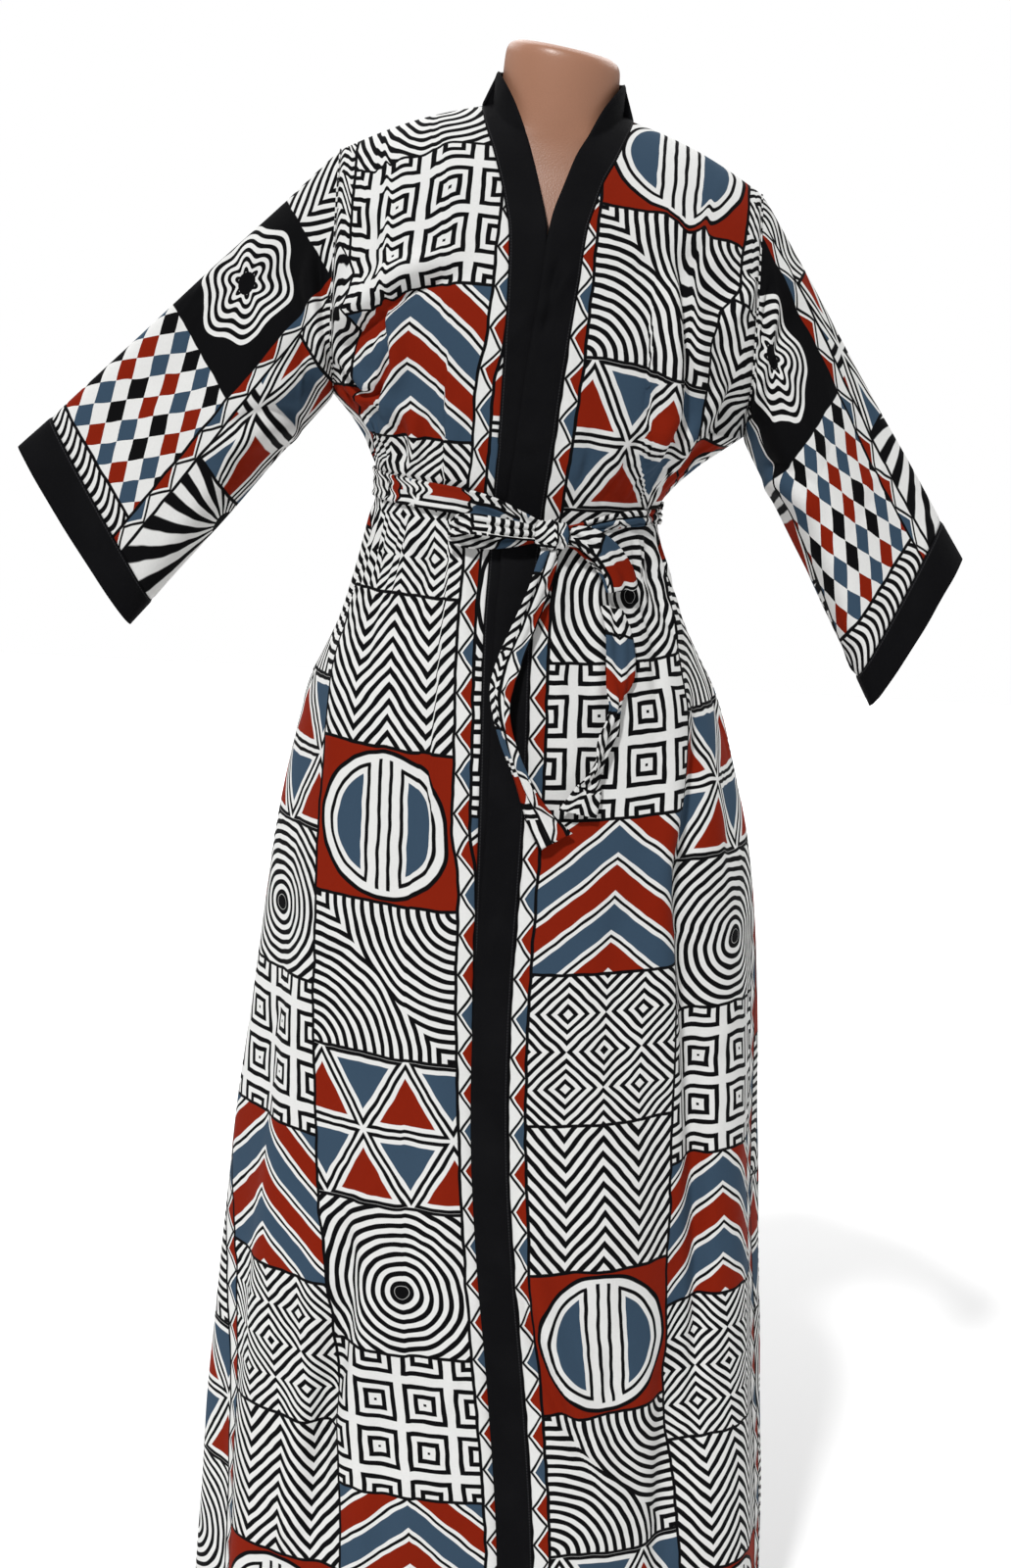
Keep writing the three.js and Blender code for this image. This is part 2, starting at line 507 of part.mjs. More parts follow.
// The band's further rows, from the neck point round to centre back.
function neckRows(side) {
  const shortOfBack = seamGap / 2 / collar.edgeY;
  return steps(neckCount).slice(1).map((s) => {
    const angle = s * Math.PI / 2 - (s === 1 ? shortOfBack : 0);
    const [c, r] = [Math.cos(angle), Math.sin(angle)];
    const seam = [side * neckPointX * c + shoulderMiddle, (napeY + collar.lift) * r,
      neckPointZ + napeRise * r + collar.lift];
    const edge = [side * collar.edgeX * c + shoulderMiddle, collar.edgeY * r,
      neckPointZ + mix(collar.high, collar.highBack, r)];
    return steps(bandColumns).map((k) => between(seam, edge, k));
  });
}

// ---- Sleeves ------------------------------------------------------------------------------------
const sleeveCount = 12;
const leastRow = 0.03;      // the last row before the cuff is at least this share of the length from it
const foldStart = 0.12;     // share of a sleeve's length over which its folds set in
const cuffSquare = 0.8;     // a cuff's end is a flattened ring with blunt edges
const axisPoint = (v) => new THREE.Vector3(...v);

// The armhole as a loop from the underarm up the front and down the back: points and their normals.
function armhole(side, front, frontNormals, back, backNormals) {
  const start = lowerRows.length - 1;
  const last = front.length - 1;
  const backEdge = side > 0 ? 0 : backColumns;
  const ids = steps(last - start).map((_, i) => start + i);
  const ahead = ids.map((i) => [front[i][0], frontNormals[i][0]]);
  const behind = ids.slice(1, -1).reverse().map((i) => [back[i][backEdge], backNormals[i][backEdge]]);
  const loop = [...ahead, ...behind].map(([p, n]) => [[p[0] + side * seamGap, p[1], p[2]], n]);
  [0, last - start].forEach((k) => { loop[k][0][1] = 0; });
  return loop;
}

// The rings of a sleeve: the armhole's loop changes evenly to a flattened ring at the cuff's end.
function sleeveRings(side, loop, shape, count) {
  const [slope, rise] = shape.line;
  const turn = radians(shape.turn);
  const across = new THREE.Vector3(slope * Math.cos(turn), Math.sin(turn), rise * Math.cos(turn));
  const run = new THREE.Vector3(rise * side, 0, -slope * side);
  const deep = new THREE.Vector3().crossVectors(run, across).normalize();
  deep.multiplyScalar(-Math.sign(deep.y));
  const ring = loop.map((_, k) => {
    const angle = k / loop.length * 2 * Math.PI;
    const p = axisPoint(shape.end).addScaledVector(across, -Math.cos(angle) * shape.half)
      .addScaledVector(deep, signedPower(Math.sin(angle), cuffSquare) * shape.deep);
    return p.toArray();
  });
  return steps(count).map((u) => loop.map(([p], k) => {
    const degrees = k / loop.length * 360;
    const fold = sleeveFolds.reduce((sum, f) => sum
      + f.high * bump(degrees - f.at, f.wide) * bump(u - f.middle, f.reach) * smooth(u / foldStart), 0);
    const away = deep.clone().multiplyScalar(fold * Math.sign(180 - degrees));
    return add(between(p, ring[k], u), away);
  }));
}

// ---- The sash -----------------------------------------------------------------------------------
const acrossStrip = [-0.5, 0, 0.5];
const sashColumns = 60;
const stripRows = 18;
const knotSteps = { along: 8, round: 14 };

// A strip of the sash along one of its tables: rows of points across its width.
function stripGrid(table, rowCount, width) {
  const value = (column, s) => {
    const curve = table.map((row, i) => ({ z: i, value: row[column] }));
    return lookUp(curve, 'value', s * (table.length - 1));
  };
  return steps(rowCount).map((s) => {
    const [x, z, out, lie, tip] = ['x', 'z', 'out', 'lie', 'tip'].map((column) => value(column, s));
    const [c, r] = [Math.cos(radians(tip)), Math.sin(radians(tip))];
    return acrossStrip.map((k) => {
      const place = x + Math.cos(radians(lie)) * c * k * width;
      const height = z + Math.sin(radians(lie)) * c * k * width;
      return [place, frontY(place, height, gather.high) - out + r * k * width, height];
    });
  });
}

function sashGrid() {
  return acrossStrip.map((k) => steps(sashColumns).slice(1).map((s) => {
    const angle = s * 2 * Math.PI;
    const x = skirtPoint(angle, waistZ)[0];
    const level = Math.cos(angle) > 0 ? sashZ(x) : sash.z - sash.slope * x;
    const z = level + k * sashWidth;
    const p = skirtPoint(angle, z);
    const away = new THREE.Vector3(p[0] / sash.side ** 2, p[1] / sash.deep ** 2, 0).setLength(sash.off);
    return add(p, away);
  }));
}

function knotRings() {
  const y = frontY(knot.x, knot.z, gather.high) - knot.out;
  return steps(knotSteps.along).slice(1, -1).map((s) => {
    const along = (s * 2 - 1) * knot.end;
    const size = (1 - Math.abs(along) ** knot.square) ** (1 / knot.square);
    return steps(knotSteps.round).slice(1).map((k) => {
      const angle = k * 2 * Math.PI;
      return [knot.x + along * knot.wide / 2, y + Math.cos(angle) * size * knot.deep / 2,
        knot.z + Math.sin(angle) * size * knot.high / 2];
    });
  });
}

// ---- The dress form -----------------------------------------------------------------------------
const formColumns = 32;
const turnedSegments = { pole: 24, base: 48 };

function formGrid() {
  return formRings.map(({ z, side, front, back, round }) => steps(formColumns).slice(1).map((s) => {
    const angle = s * 2 * Math.PI;
    const x = side * signedPower(Math.sin(angle), 2 / round);
    const y = -(Math.cos(angle) > 0 ? front : back) * signedPower(Math.cos(angle), 2 / round);
    const middle = shoulderMiddle * smooth((z - formShoulders.from) / formShoulders.over);
    return [x + middle, y, z - formCap.slant * x * smooth((z - formCap.from) / formCap.over)];
  }));
}

function turnedUp(profile, segments) {
  const points = profile.map(([r, z]) => new THREE.Vector2(r, z));
  return new THREE.LatheGeometry(points, segments).rotateX(Math.PI / 2);
}

// ---- Everything, named --------------------------------------------------------------------------
const group = new THREE.Group();
group.name = 'kimono_on_dress_form';

function addPiece(name, geometry, look) {
  const mesh = new THREE.Mesh(geometry, new THREE.MeshStandardMaterial(look));
  mesh.name = name;
  group.add(mesh);
}

const back = backGrid();
const backNormals = panelNormals(back, [0, backColumns]);
addPiece('back', wall(back, { normals: backNormals }), paint.print);

for (const [name, side] of [['right', -1], ['left', 1]]) {
  const front = frontGrid(side);
  const normals = panelNormals(front, [0]);
  const [panel, panelN] = cut(front, normals, 0, frontColumns, 'last');
  addPiece(`front_${name}`, wall(panel, { normals: panelN }), paint.print);

  const [strip] = cut(front, normals, frontColumns, frontColumns + bandColumns, 'first', lap.gap);
  addPiece(`band_${name}`, wall([...strip, ...neckRows(side)]), paint.trim);

  const shape = sleeveEnds[name];
  const loop = armhole(side, front, normals, back, backNormals);
  const rings = sleeveRings(side, loop, shape, sleeveCount);
  const root = new THREE.Vector3(side * sleeveRoot.x, 0, sleeveRoot.z);
  const length = axisPoint(shape.end).distanceTo(root);
  const seam = (length - cuffWidth) / length;
  const at = (u) => rings[0].map((p, k) => between(rings.at(-1)[k], p, 1 - u));
  const clearOfCuff = (_, i) => i / sleeveCount < seam - leastRow;
  const sleeve = [...rings.slice(0, -1).filter(clearOfCuff), at(seam)];
  const sleeveNormals = normalsOf(sleeve, true);
  const outward = Math.sign(sleeveNormals[6][6].y * sleeve[6][6][1]) || 1;
  sleeveNormals.forEach((row) => row.forEach((n) => n.multiplyScalar(outward)));
  sleeveNormals[0] = loop.map(([, n]) => n);
  const tube = { normals: sleeveNormals, closed: true, whole: true };
  addPiece(`sleeve_${name}`, wall(sleeve, tube), paint.print);
  addPiece(`cuff_${name}`, wall([at(seam + seamGap / length), at((1 + seam) / 2), at(1)],
    { closed: true, whole: true }), paint.trim);
}

addPiece('sash_waist', wall(sashGrid(), { closed: true }), paint.print);
addPiece('sash_knot', loft(knotRings()), paint.print);
for (const [name, table] of Object.entries(sashStrips)) {
  addPiece(`sash_${name}`, wall(stripGrid(table, stripRows, stripWidth), { half: stripHalf }), paint.print);
}

addPiece('form_torso', loft(formGrid()), paint.form);
addPiece('form_pole', turnedUp([[0, pole.bottom], [pole.radius, pole.bottom], [pole.radius, pole.top],
  [0, pole.top]], turnedSegments.pole), paint.stand);
const baseProfile = [[0, 0], [base.radius, 0], [base.radius, base.edge], [base.domeRadius, base.domeTop],
  [base.socketRadius, base.top], [0, base.top]];
addPiece('form_base', turnedUp(baseProfile, turnedSegments.base), paint.stand);

export default group;
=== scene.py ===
import math

import bpy
import numpy as np
from mathutils import Matrix


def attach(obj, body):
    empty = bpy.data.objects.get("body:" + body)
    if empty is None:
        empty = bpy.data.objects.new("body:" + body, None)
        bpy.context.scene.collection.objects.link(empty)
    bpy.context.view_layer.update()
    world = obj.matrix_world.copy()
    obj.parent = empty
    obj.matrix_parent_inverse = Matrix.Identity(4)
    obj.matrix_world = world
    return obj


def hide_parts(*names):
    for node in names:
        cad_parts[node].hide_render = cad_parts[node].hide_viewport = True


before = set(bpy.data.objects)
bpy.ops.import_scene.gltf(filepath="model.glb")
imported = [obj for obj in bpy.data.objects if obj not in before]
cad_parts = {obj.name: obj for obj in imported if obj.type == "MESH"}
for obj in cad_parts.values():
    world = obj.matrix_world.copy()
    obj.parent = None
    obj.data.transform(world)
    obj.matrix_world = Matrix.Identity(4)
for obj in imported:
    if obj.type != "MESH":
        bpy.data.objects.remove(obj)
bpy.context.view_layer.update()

# A printed cotton kimono robe on a limbless dress form. The robe faces -Y and the wearer's left is +X.
# Sizes are millimetres until a mesh is made. Each piece of cloth is a grid of points worked out from the
# same sizes as its solid, with finer folds, and it carries a UV map in metres of cloth.

# what the robe is cut to
robe = dict(
    hemZ=60, waistZ=1215, armpitZ=1299, armholeX=200, neckPointX=72, neckPointZ=1582, neckDrop=0.28,
    shoulderTipX=202, shoulderDrop=0.415, shoulderArch=6, shoulderMiddle=-3, napeRise=5, napeY=64,
    leanDegrees=3, leanFrom=1135, leanOver=150, cuffWidth=37,
)
# Half width, roundness and depths of the body above the arms, at the armpit and once it has opened out.
chest = dict(halfWidth=(200, 224), roundness=(1.75, 2), front=(136, 139), back=(103, 109), opens=0.3,
             frontArch=2.2, frontFlat=1.5, backArch=3.6, neckHalf=45)
# How far the under front is set in at the lap, and where that fades.
lap = dict(inset=3.6, partsZ=1525, partsOver=50, full=20, fades=110)
# The stretch of the band that bends round the neck.
collar = dict(radius=61, fromZ=1525, over=40, lift=1.5, edgeX=59.5, edgeY=59, high=32, highBack=39)
# how finely each piece is drawn: spaces between points
fine = dict(lower=186, upper=90, front=112, back=150, band=18, neck=56, sleeve=110, cuff=14)

# Rings below the arms: height, half width, depth to the front and the back, roundness, middle.
robeRings = np.array([
    (60, 298, 209, 194, 2.0, 17), (155, 294, 206, 191, 2.0, 16), (245, 289, 203, 188, 2.0, 14),
    (415, 278, 199, 186, 2.0, 12), (585, 265, 193, 184, 2.0, 11), (685, 258, 188, 182, 2.0, 12),
    (800, 247, 180, 179, 2.05, 12), (885, 236, 171, 174, 2.1, 10), (970, 218, 160, 166, 2.15, 6),
    (1030, 201, 149, 155, 2.2, 4), (1085, 175, 136, 136, 2.2, 1), (1125, 159, 127, 119, 2.2, -2),
    (1165, 146, 120, 105, 2.2, -3), (1215, 137, 114, 95, 2.2, -3), (1240, 144, 119, 97, 2.15, 0),
    (1265, 161, 127, 99, 2.0, 5), (1299, 200, 136, 103, 1.75, 9),
])
# Folds of the skirt: degrees round from centre front, wander by the hem, half width in degrees, height
# at the hem (minus is a hollow), top.
skirtFolds = [
    (24, -3, 8, 5, 1065), (45, -2, 7, -12, 1135), (58, 2, 8, 9, 1125), (76, 3, 8, -6, 1085),
    (-27, 4, 7, 5, 985), (-37, 6, 6, -9, 515), (-50, -4, 8, 7, 1105), (-63, -3, 7, -8, 1125),
    (-77, -2, 7, 6, 1085), (101, 2, 8, 7, 1125), (117, 3, 8, -9, 1145), (133, -2, 8, 9, 1135),
    (150, 2, 8, -10, 1155), (166, -3, 7, 8, 1145), (182, 2, 8, -7, 1155), (198, 3, 8, 10, 1135),
    (215, -2, 8, -10, 1145), (232, 2, 8, 8, 1135), (248, -3, 7, -8, 1125), (261, 1, 7, 5, 1105),
]
# Gathers that the sash pulls in, with fine uneven ones between them. There are none near the lap.
gather = dict(count=26, high=2.9, below=1155, above=1261, reachBelow=52, reachAbove=26, clear=18,
              fineHigh=1.7, lapDegrees=22)
# The sash's middle line, which falls to the wearer's left and dips at the knot in front.
sashPath = dict(middleZ=1217.5, fall=0.036, dip=20, knotX=31.5, reach=46, half=12)

# The seams between the fronts and their bands: height and x.
seamLines = dict(
    left=np.array([
        (60, 72), (215, 65), (382, 47), (495, 32), (620, 20), (750, 16), (954, 19), (1104, 17), (1172, 20),
        (1257, 24), (1343, 27), (1428, 32), (1477, 35), (1499, 40), (1522, 46), (1542, 55), (1565, 63.5),
        (1582, 69),
    ]),
    right=np.array([
        (60, 43), (215, 36), (382, 16), (495, 2), (620, -10), (750, -19), (954, -24), (1104, -28),
        (1172, -26), (1257, -26), (1343, -29), (1428, -33), (1471, -37), (1490, -42), (1513, -49),
        (1540, -59), (1563, -69), (1582, -75),
    ]),
)
# How far in from its seam, and up, a band's free edge lies, by the seam's height.
bandReach = np.array([
    (1385, 35, 0), (1425, 35, 1), (1471, 34, 8), (1514, 29, 19), (1542, 27, 22), (1564, 23, 26),
    (1582, 12.5, 32),
])


def smooth(t):
    t = np.clip(t, 0, 1)
    return t * t * (3 - 2 * t)


def bump(off, reach):
    return np.exp(-(off / reach) ** 2)


def mix(a, b, t):
    return a + (b - a) * t


def signedPower(value, power):
    return np.sign(value) * np.abs(value) ** power


def asPoints(*parts):
    # coordinates side by side
    return np.stack(np.broadcast_arrays(*parts), axis=-1)


def turns(count):
    return np.linspace(0, 2 * np.pi, count + 1)[None, 1:]


def curveThrough(keys, values, at):
    # A smooth curve through rows of values: between two keys it is a cubic whose slope at each key is
    # that of the line between the key's neighbours.
    keys, values, at = np.asarray(keys, float), np.asarray(values, float), np.asarray(at, float)
    i = np.searchsorted(keys[1:-1], at, side="left")
    before, after = np.maximum(i - 1, 0), np.minimum(i + 2, len(keys) - 1)
    wide = (...,) + (None,) * (values.ndim - 1)
    span = keys[i + 1] - keys[i]
    t = np.clip((at - keys[i]) / span, 0, 1)[wide]
    slopeA = (values[i + 1] - values[before]) * (span / (keys[i + 1] - keys[before]))[wide]
    slopeB = (values[after] - values[i]) * (span / (keys[after] - keys[i]))[wide]
    return ((2 * t**3 - 3 * t**2 + 1) * values[i] + (t**3 - 2 * t**2 + t) * slopeA
            + (3 * t**2 - 2 * t**3) * values[i + 1] + (t**3 - t**2) * slopeB)


def lookUp(table, column, z):
    return curveThrough(table[:, 0], table[:, column], z)


def lookUpAll(table, z):
    return (lookUp(table, column, z) for column in range(1, table.shape[1]))


def superellipse(angle, side, front, back, roundness):
    # A level ring: the sine and cosine raised to a power, with its own depth in front and behind.
    depth = np.where(np.cos(angle) > 0, front, back)
    return (side * signedPower(np.sin(angle), 2 / roundness),
            -depth * signedPower(np.cos(angle), 2 / roundness))


def sashLine(x, inFront=1.0):
    dip = sashPath["dip"] * bump(x - sashPath["knotX"], sashPath["reach"])
    return sashPath["middleZ"] - sashPath["fall"] * x - dip * inFront


def foldHeight(angle, z, x=0.0):
    # Each skirt fold is a bell round its own angle that grows towards the hem. The gathers are waves
    # round the waist that fade away from the sash, under it and near the lap.
    degrees = (np.degrees(angle) + 90) % 360 - 90
    lift = np.zeros(np.broadcast(angle, z).shape)
    for at, wander, wide, high, top in skirtFolds:
        grown = np.clip((top - z) / (top - robe["hemZ"]), 0, 1)
        lift = lift + high * smooth(grown * 1.6) * bump(degrees - at - wander * grown, wide)
    pulled = (bump(z - gather["below"], gather["reachBelow"])
              + 0.7 * bump(z - gather["above"], gather["reachAbove"]))
    offSash = np.abs(z - sashLine(x, np.cos(angle) > 0))
    held = ((1 - bump(degrees, gather["lapDegrees"])) * pulled
            * smooth((offSash - sashPath["half"]) / gather["clear"]))
    waves = np.cos(gather["count"] * angle) * (0.75 + 0.35 * np.sin(7 * angle))
    fineWaves = (0.6 * np.cos(61 * angle + 1.5 * np.sin(5 * angle))
                 + 0.4 * np.cos(87 * angle + 2.3 * np.sin(3 * angle + z / 60)))
    return lift + held * (gather["high"] * waves + gather["fineHigh"] * fineWaves)


def skirtPoint(angle, z, height=None):
    # Below the arms a level section is a superellipse, moved out by the folds.
    *ring, middle = lookUpAll(robeRings, z)
    x, y = superellipse(angle, *ring)
    height = foldHeight(angle, z, middle + x) if height is None else height
    lifted = 1 + height / np.hypot(x, y)
    return asPoints(middle + x * lifted, y * lifted, z)


def angleAt(x, z, height=None):
    # The angle at which the front passes x at height z, by halving the span that holds it.
    low = np.full(np.broadcast(x, z).shape, -np.pi / 2)
    high = -low
    for _ in range(26):
        middle = (low + high) / 2
        below = skirtPoint(middle, z, height)[..., 0] < x
        low, high = np.where(below, middle, low), np.where(below, high, middle)
    return (low + high) / 2


def ridgeZ(x):
    # The ridge that the shoulder seams follow, carried on across the neck.
    beyond = np.abs(x) - robe["neckPointX"]
    along = np.clip(beyond / (robe["shoulderTipX"] - robe["neckPointX"]), 0, 1)
    slope = np.where(beyond > 0, robe["shoulderDrop"], robe["neckDrop"])
    return robe["neckPointZ"] - beyond * slope + robe["shoulderArch"] * np.sin(along * np.pi)


def chestMiddle(t):
    return mix(robeRings[-1, 5], robe["shoulderMiddle"], t)


def opening(name, t):
    # a measure of the chest between the armpit and where it has opened out
    return mix(*chest[name], smooth(t / chest["opens"]))


def chestDepth(x, t, full, arch, flat, topY=0.0):
    # Above the arms the depth falls from the armpit's section to the ridge on a rounded curve.
    roundness = opening("roundness", t)
    level = full * np.maximum(0, 1 - np.abs(x / opening("halfWidth", t)) ** roundness) ** (1 / roundness)
    return topY + (level - topY) * np.maximum(0, 1 - t**arch) ** (1 / flat)


def frontDepth(x, t):
    return chestDepth(x, t, opening("front", t), chest["frontArch"], chest["frontFlat"])


def frontY(x, z, height=None):
    x, z = np.broadcast_arrays(np.asarray(x, float), np.asarray(z, float))
    low = np.minimum(z, robe["armpitZ"])
    below = skirtPoint(angleAt(x, low, height), low, height)[..., 1]
    t = np.clip((z - robe["armpitZ"]) / (ridgeZ(x) - robe["armpitZ"]), 0, 1)
    return np.where(z <= robe["armpitZ"], below, -frontDepth(x - chestMiddle(t), t))


def neckCurve(x):
    return np.sqrt(np.maximum(0, 1 - (x / robe["neckPointX"]) ** 2))


def backPoint(x, t):
    flat = mix(1, chest["frontFlat"], smooth((np.abs(x) - chest["neckHalf"]) / chest["neckHalf"]))
    inNeck = np.abs(x) < robe["neckPointX"]
    topZ = np.where(inNeck, robe["neckPointZ"] + robe["napeRise"] * neckCurve(x), ridgeZ(x))
    depth = chestDepth(x, t, opening("back", t), chest["backArch"], flat, robe["napeY"] * neckCurve(x))
    return asPoints(x + chestMiddle(t), depth, mix(robe["armpitZ"], topZ, t))


def armholeX(t):
    return mix(robe["armholeX"], robe["shoulderTipX"], t)


rowZ = np.linspace(robe["hemZ"], robe["armpitZ"], fine["lower"] + 1)
rowT = np.sin(np.linspace(0, 1, fine["upper"] + 1)[1:] * np.pi / 2) ** 1.15
waistRow = int(np.abs(rowZ - robe["waistZ"]).argmin())


def inset(side, fromSeam, z):
    # The under front is set in at the lap. This fades away from the lap and where the fronts part.
    if side > 0:
        return 0.0
    low = smooth((lap["partsZ"] - z) / lap["partsOver"])
    return lap["inset"] * low * (1 - smooth((fromSeam - lap["full"]) / lap["fades"]))


def shares(name):
    # a row of even shares from 0 to 1 across a piece
    return np.linspace(0, 1, fine[name] + 1)[None, :]


def bandRows(side, seamX, z):
    # A band runs from its seam to its free edge, on the front's own surface. Near the neck it bends
    # round the neck instead.
    s = shares("band")
    seamX, z = seamX[:, None], z[:, None]
    inward, up = lookUpAll(bandReach, np.maximum(z, bandReach[0, 0]))
    x, height = seamX - side * inward * s, z + up * s
    bent = (-np.sqrt(np.maximum(0, collar["radius"] ** 2 - (x - robe["shoulderMiddle"]) ** 2))
            * smooth((height - collar["fromZ"]) / collar["over"]))
    return asPoints(x, np.minimum(frontY(x, height), bent) + inset(side, 0, z), height)


def frontGrid(name, side):
    # Rows from the hem to the shoulder, each from the side seam or armhole to the band's seam and on
    # to the band's free edge.
    seam = seamLines[name]
    z = rowZ[:, None]
    seamX = lookUp(seam, 1, rowZ)
    lower = skirtPoint(mix(side * np.pi / 2, angleAt(seamX, rowZ)[:, None], shares("front")), z)
    lower[..., 1] += inset(side, np.abs(lower[..., 0] - seamX[:, None]), z)
    lowerBand = bandRows(side, seamX, rowZ)
    under = lower[-1, :, 0]
    share = ((under - under[-1]) / (under[0] - under[-1]))[None, :]
    t = rowT[:, None]
    seamX = np.zeros(len(rowT))
    for _ in range(20):
        seamX = lookUp(seam, 1, mix(robe["armpitZ"], ridgeZ(seamX), rowT))
    x = mix(seamX[:, None], side * armholeX(t) + chestMiddle(t), share)
    local = x - chestMiddle(t)
    height = mix(robe["armpitZ"], ridgeZ(local), t)
    upper = asPoints(x, -frontDepth(local, t) + inset(side, np.abs(x - seamX[:, None]), height), height)
    upperBand = bandRows(side, seamX, height[:, -1])
    upperBand[..., 1] += (upper[:, -1:, 1] - upperBand[:, :1, 1]) * (1 - shares("band"))
    return np.concatenate([lower, upper]), np.concatenate([lowerBand, upperBand])


def neckRows(side):
    # The band's further stretch, from the neck point round to centre back, standing up as a collar.
    angle = np.linspace(0, np.pi / 2, 7)[1:, None]
    c, r = np.cos(angle), np.sin(angle)
    seam = asPoints(side * robe["neckPointX"] * c + robe["shoulderMiddle"],
                    (robe["napeY"] + collar["lift"]) * r,
                    robe["neckPointZ"] + robe["napeRise"] * r + collar["lift"])
    edge = asPoints(side * collar["edgeX"] * c + robe["shoulderMiddle"], collar["edgeY"] * r,
                    robe["neckPointZ"] + mix(collar["high"], collar["highBack"], r))
    return mix(seam, edge, shares("band")[..., None])


def backGrid():
    lower = skirtPoint(mix(np.pi / 2, 3 * np.pi / 2, shares("back")), rowZ[:, None])
    share = (lower[-1, :, 0] - robeRings[-1, 5]) / robe["armholeX"]
    t = rowT[:, None]
    return np.concatenate([lower, backPoint(share[None, :] * armholeX(t), t)])


def leaned(points, whole=False):
    # Above the waist everything leans towards +X, turning about the waist. The sleeves turn as one.
    turn = math.radians(robe["leanDegrees"])
    if not whole:
        turn = turn * smooth((points[..., 2] - robe["leanFrom"]) / robe["leanOver"])
    x, up = points[..., 0], points[..., 2] - robe["waistZ"]
    return asPoints(x * np.cos(turn) + up * np.sin(turn), points[..., 1],
                    robe["waistZ"] + up * np.cos(turn) - x * np.sin(turn))


def normalsOf(points, closed=False):
    # The unit normals of a grid, from the directions to each point's neighbours.
    along = np.gradient(points, axis=0)
    across = (np.roll(points, -1, 1) - np.roll(points, 1, 1)) if closed else np.gradient(points, axis=1)
    normals = np.cross(across, along)
    return normals / np.maximum(np.linalg.norm(normals, axis=-1, keepdims=True), 1e-9)


def outwardNormals(points, closed=False):
    # The same, turned so that they point away from the robe's or the tube's middle.
    normals = normalsOf(points, closed)
    middle = points.mean(axis=1, keepdims=True) if closed else points * (0, 0, 1) + (5, 0, 0)
    return normals * np.sign((normals * (points - middle)).sum())


def creaseLift(a, b, creases):
    # Each crease is a smooth stroke through places in the plane of a and b, with its half width, height
    # and kind. A fold, which is any crease that names no kind, is a bell across the stroke. A tuck rises
    # to its edge and drops past it. A drape is a ridge that hangs over a narrow hollow. All of them die
    # away at their ends.
    lift = np.zeros(np.shape(a))
    for crease in creases:
        *line, wide, high, kind = crease if isinstance(crease[-1], str) else (*crease, "fold")
        keys = np.reshape(line, (-1, 2))
        count = 8 * (len(keys) - 1)
        curve = curveThrough(np.arange(len(keys)), keys, np.linspace(0, len(keys) - 1, count + 1))
        low, top = curve.min(axis=0) - 4 * wide, curve.max(axis=0) + 4 * wide
        near = (a > low[0]) & (a < top[0]) & (b > low[1]) & (b < top[1])
        step = np.diff(curve, axis=0)
        away = np.stack([a[near], b[near]], axis=-1)[:, None] - curve[:-1]
        share = np.clip((away * step).sum(axis=-1) / (step**2).sum(axis=-1), 0, 1)
        gap = np.linalg.norm(away - share[..., None] * step, axis=-1)
        each, best = np.arange(len(gap)), gap.argmin(axis=1) if len(gap) else np.zeros(0, int)
        turned = step[:, 1] * away[..., 0] - step[:, 0] * away[..., 1]
        off = gap[each, best] * np.sign(turned[each, best])
        part = (best + share[each, best]) / count
        ends = smooth(part / 0.24) * smooth((1 - part) / 0.24)
        if kind == "tuck":
            across = np.where(off < 0, np.exp(np.minimum(off, 0) / wide),
                              -0.5 * np.exp(-np.maximum(off, 0) / 3))
        elif kind == "drape":
            across = bump(off + 0.6 * wide, wide) - 0.9 * bump(off - 0.5 * wide, 0.5 * wide)
        else:
            across = bump(off, wide * (1 + 0.25 * np.sin(part * 4)))
        lift[near] += high * ends * across
    return lift


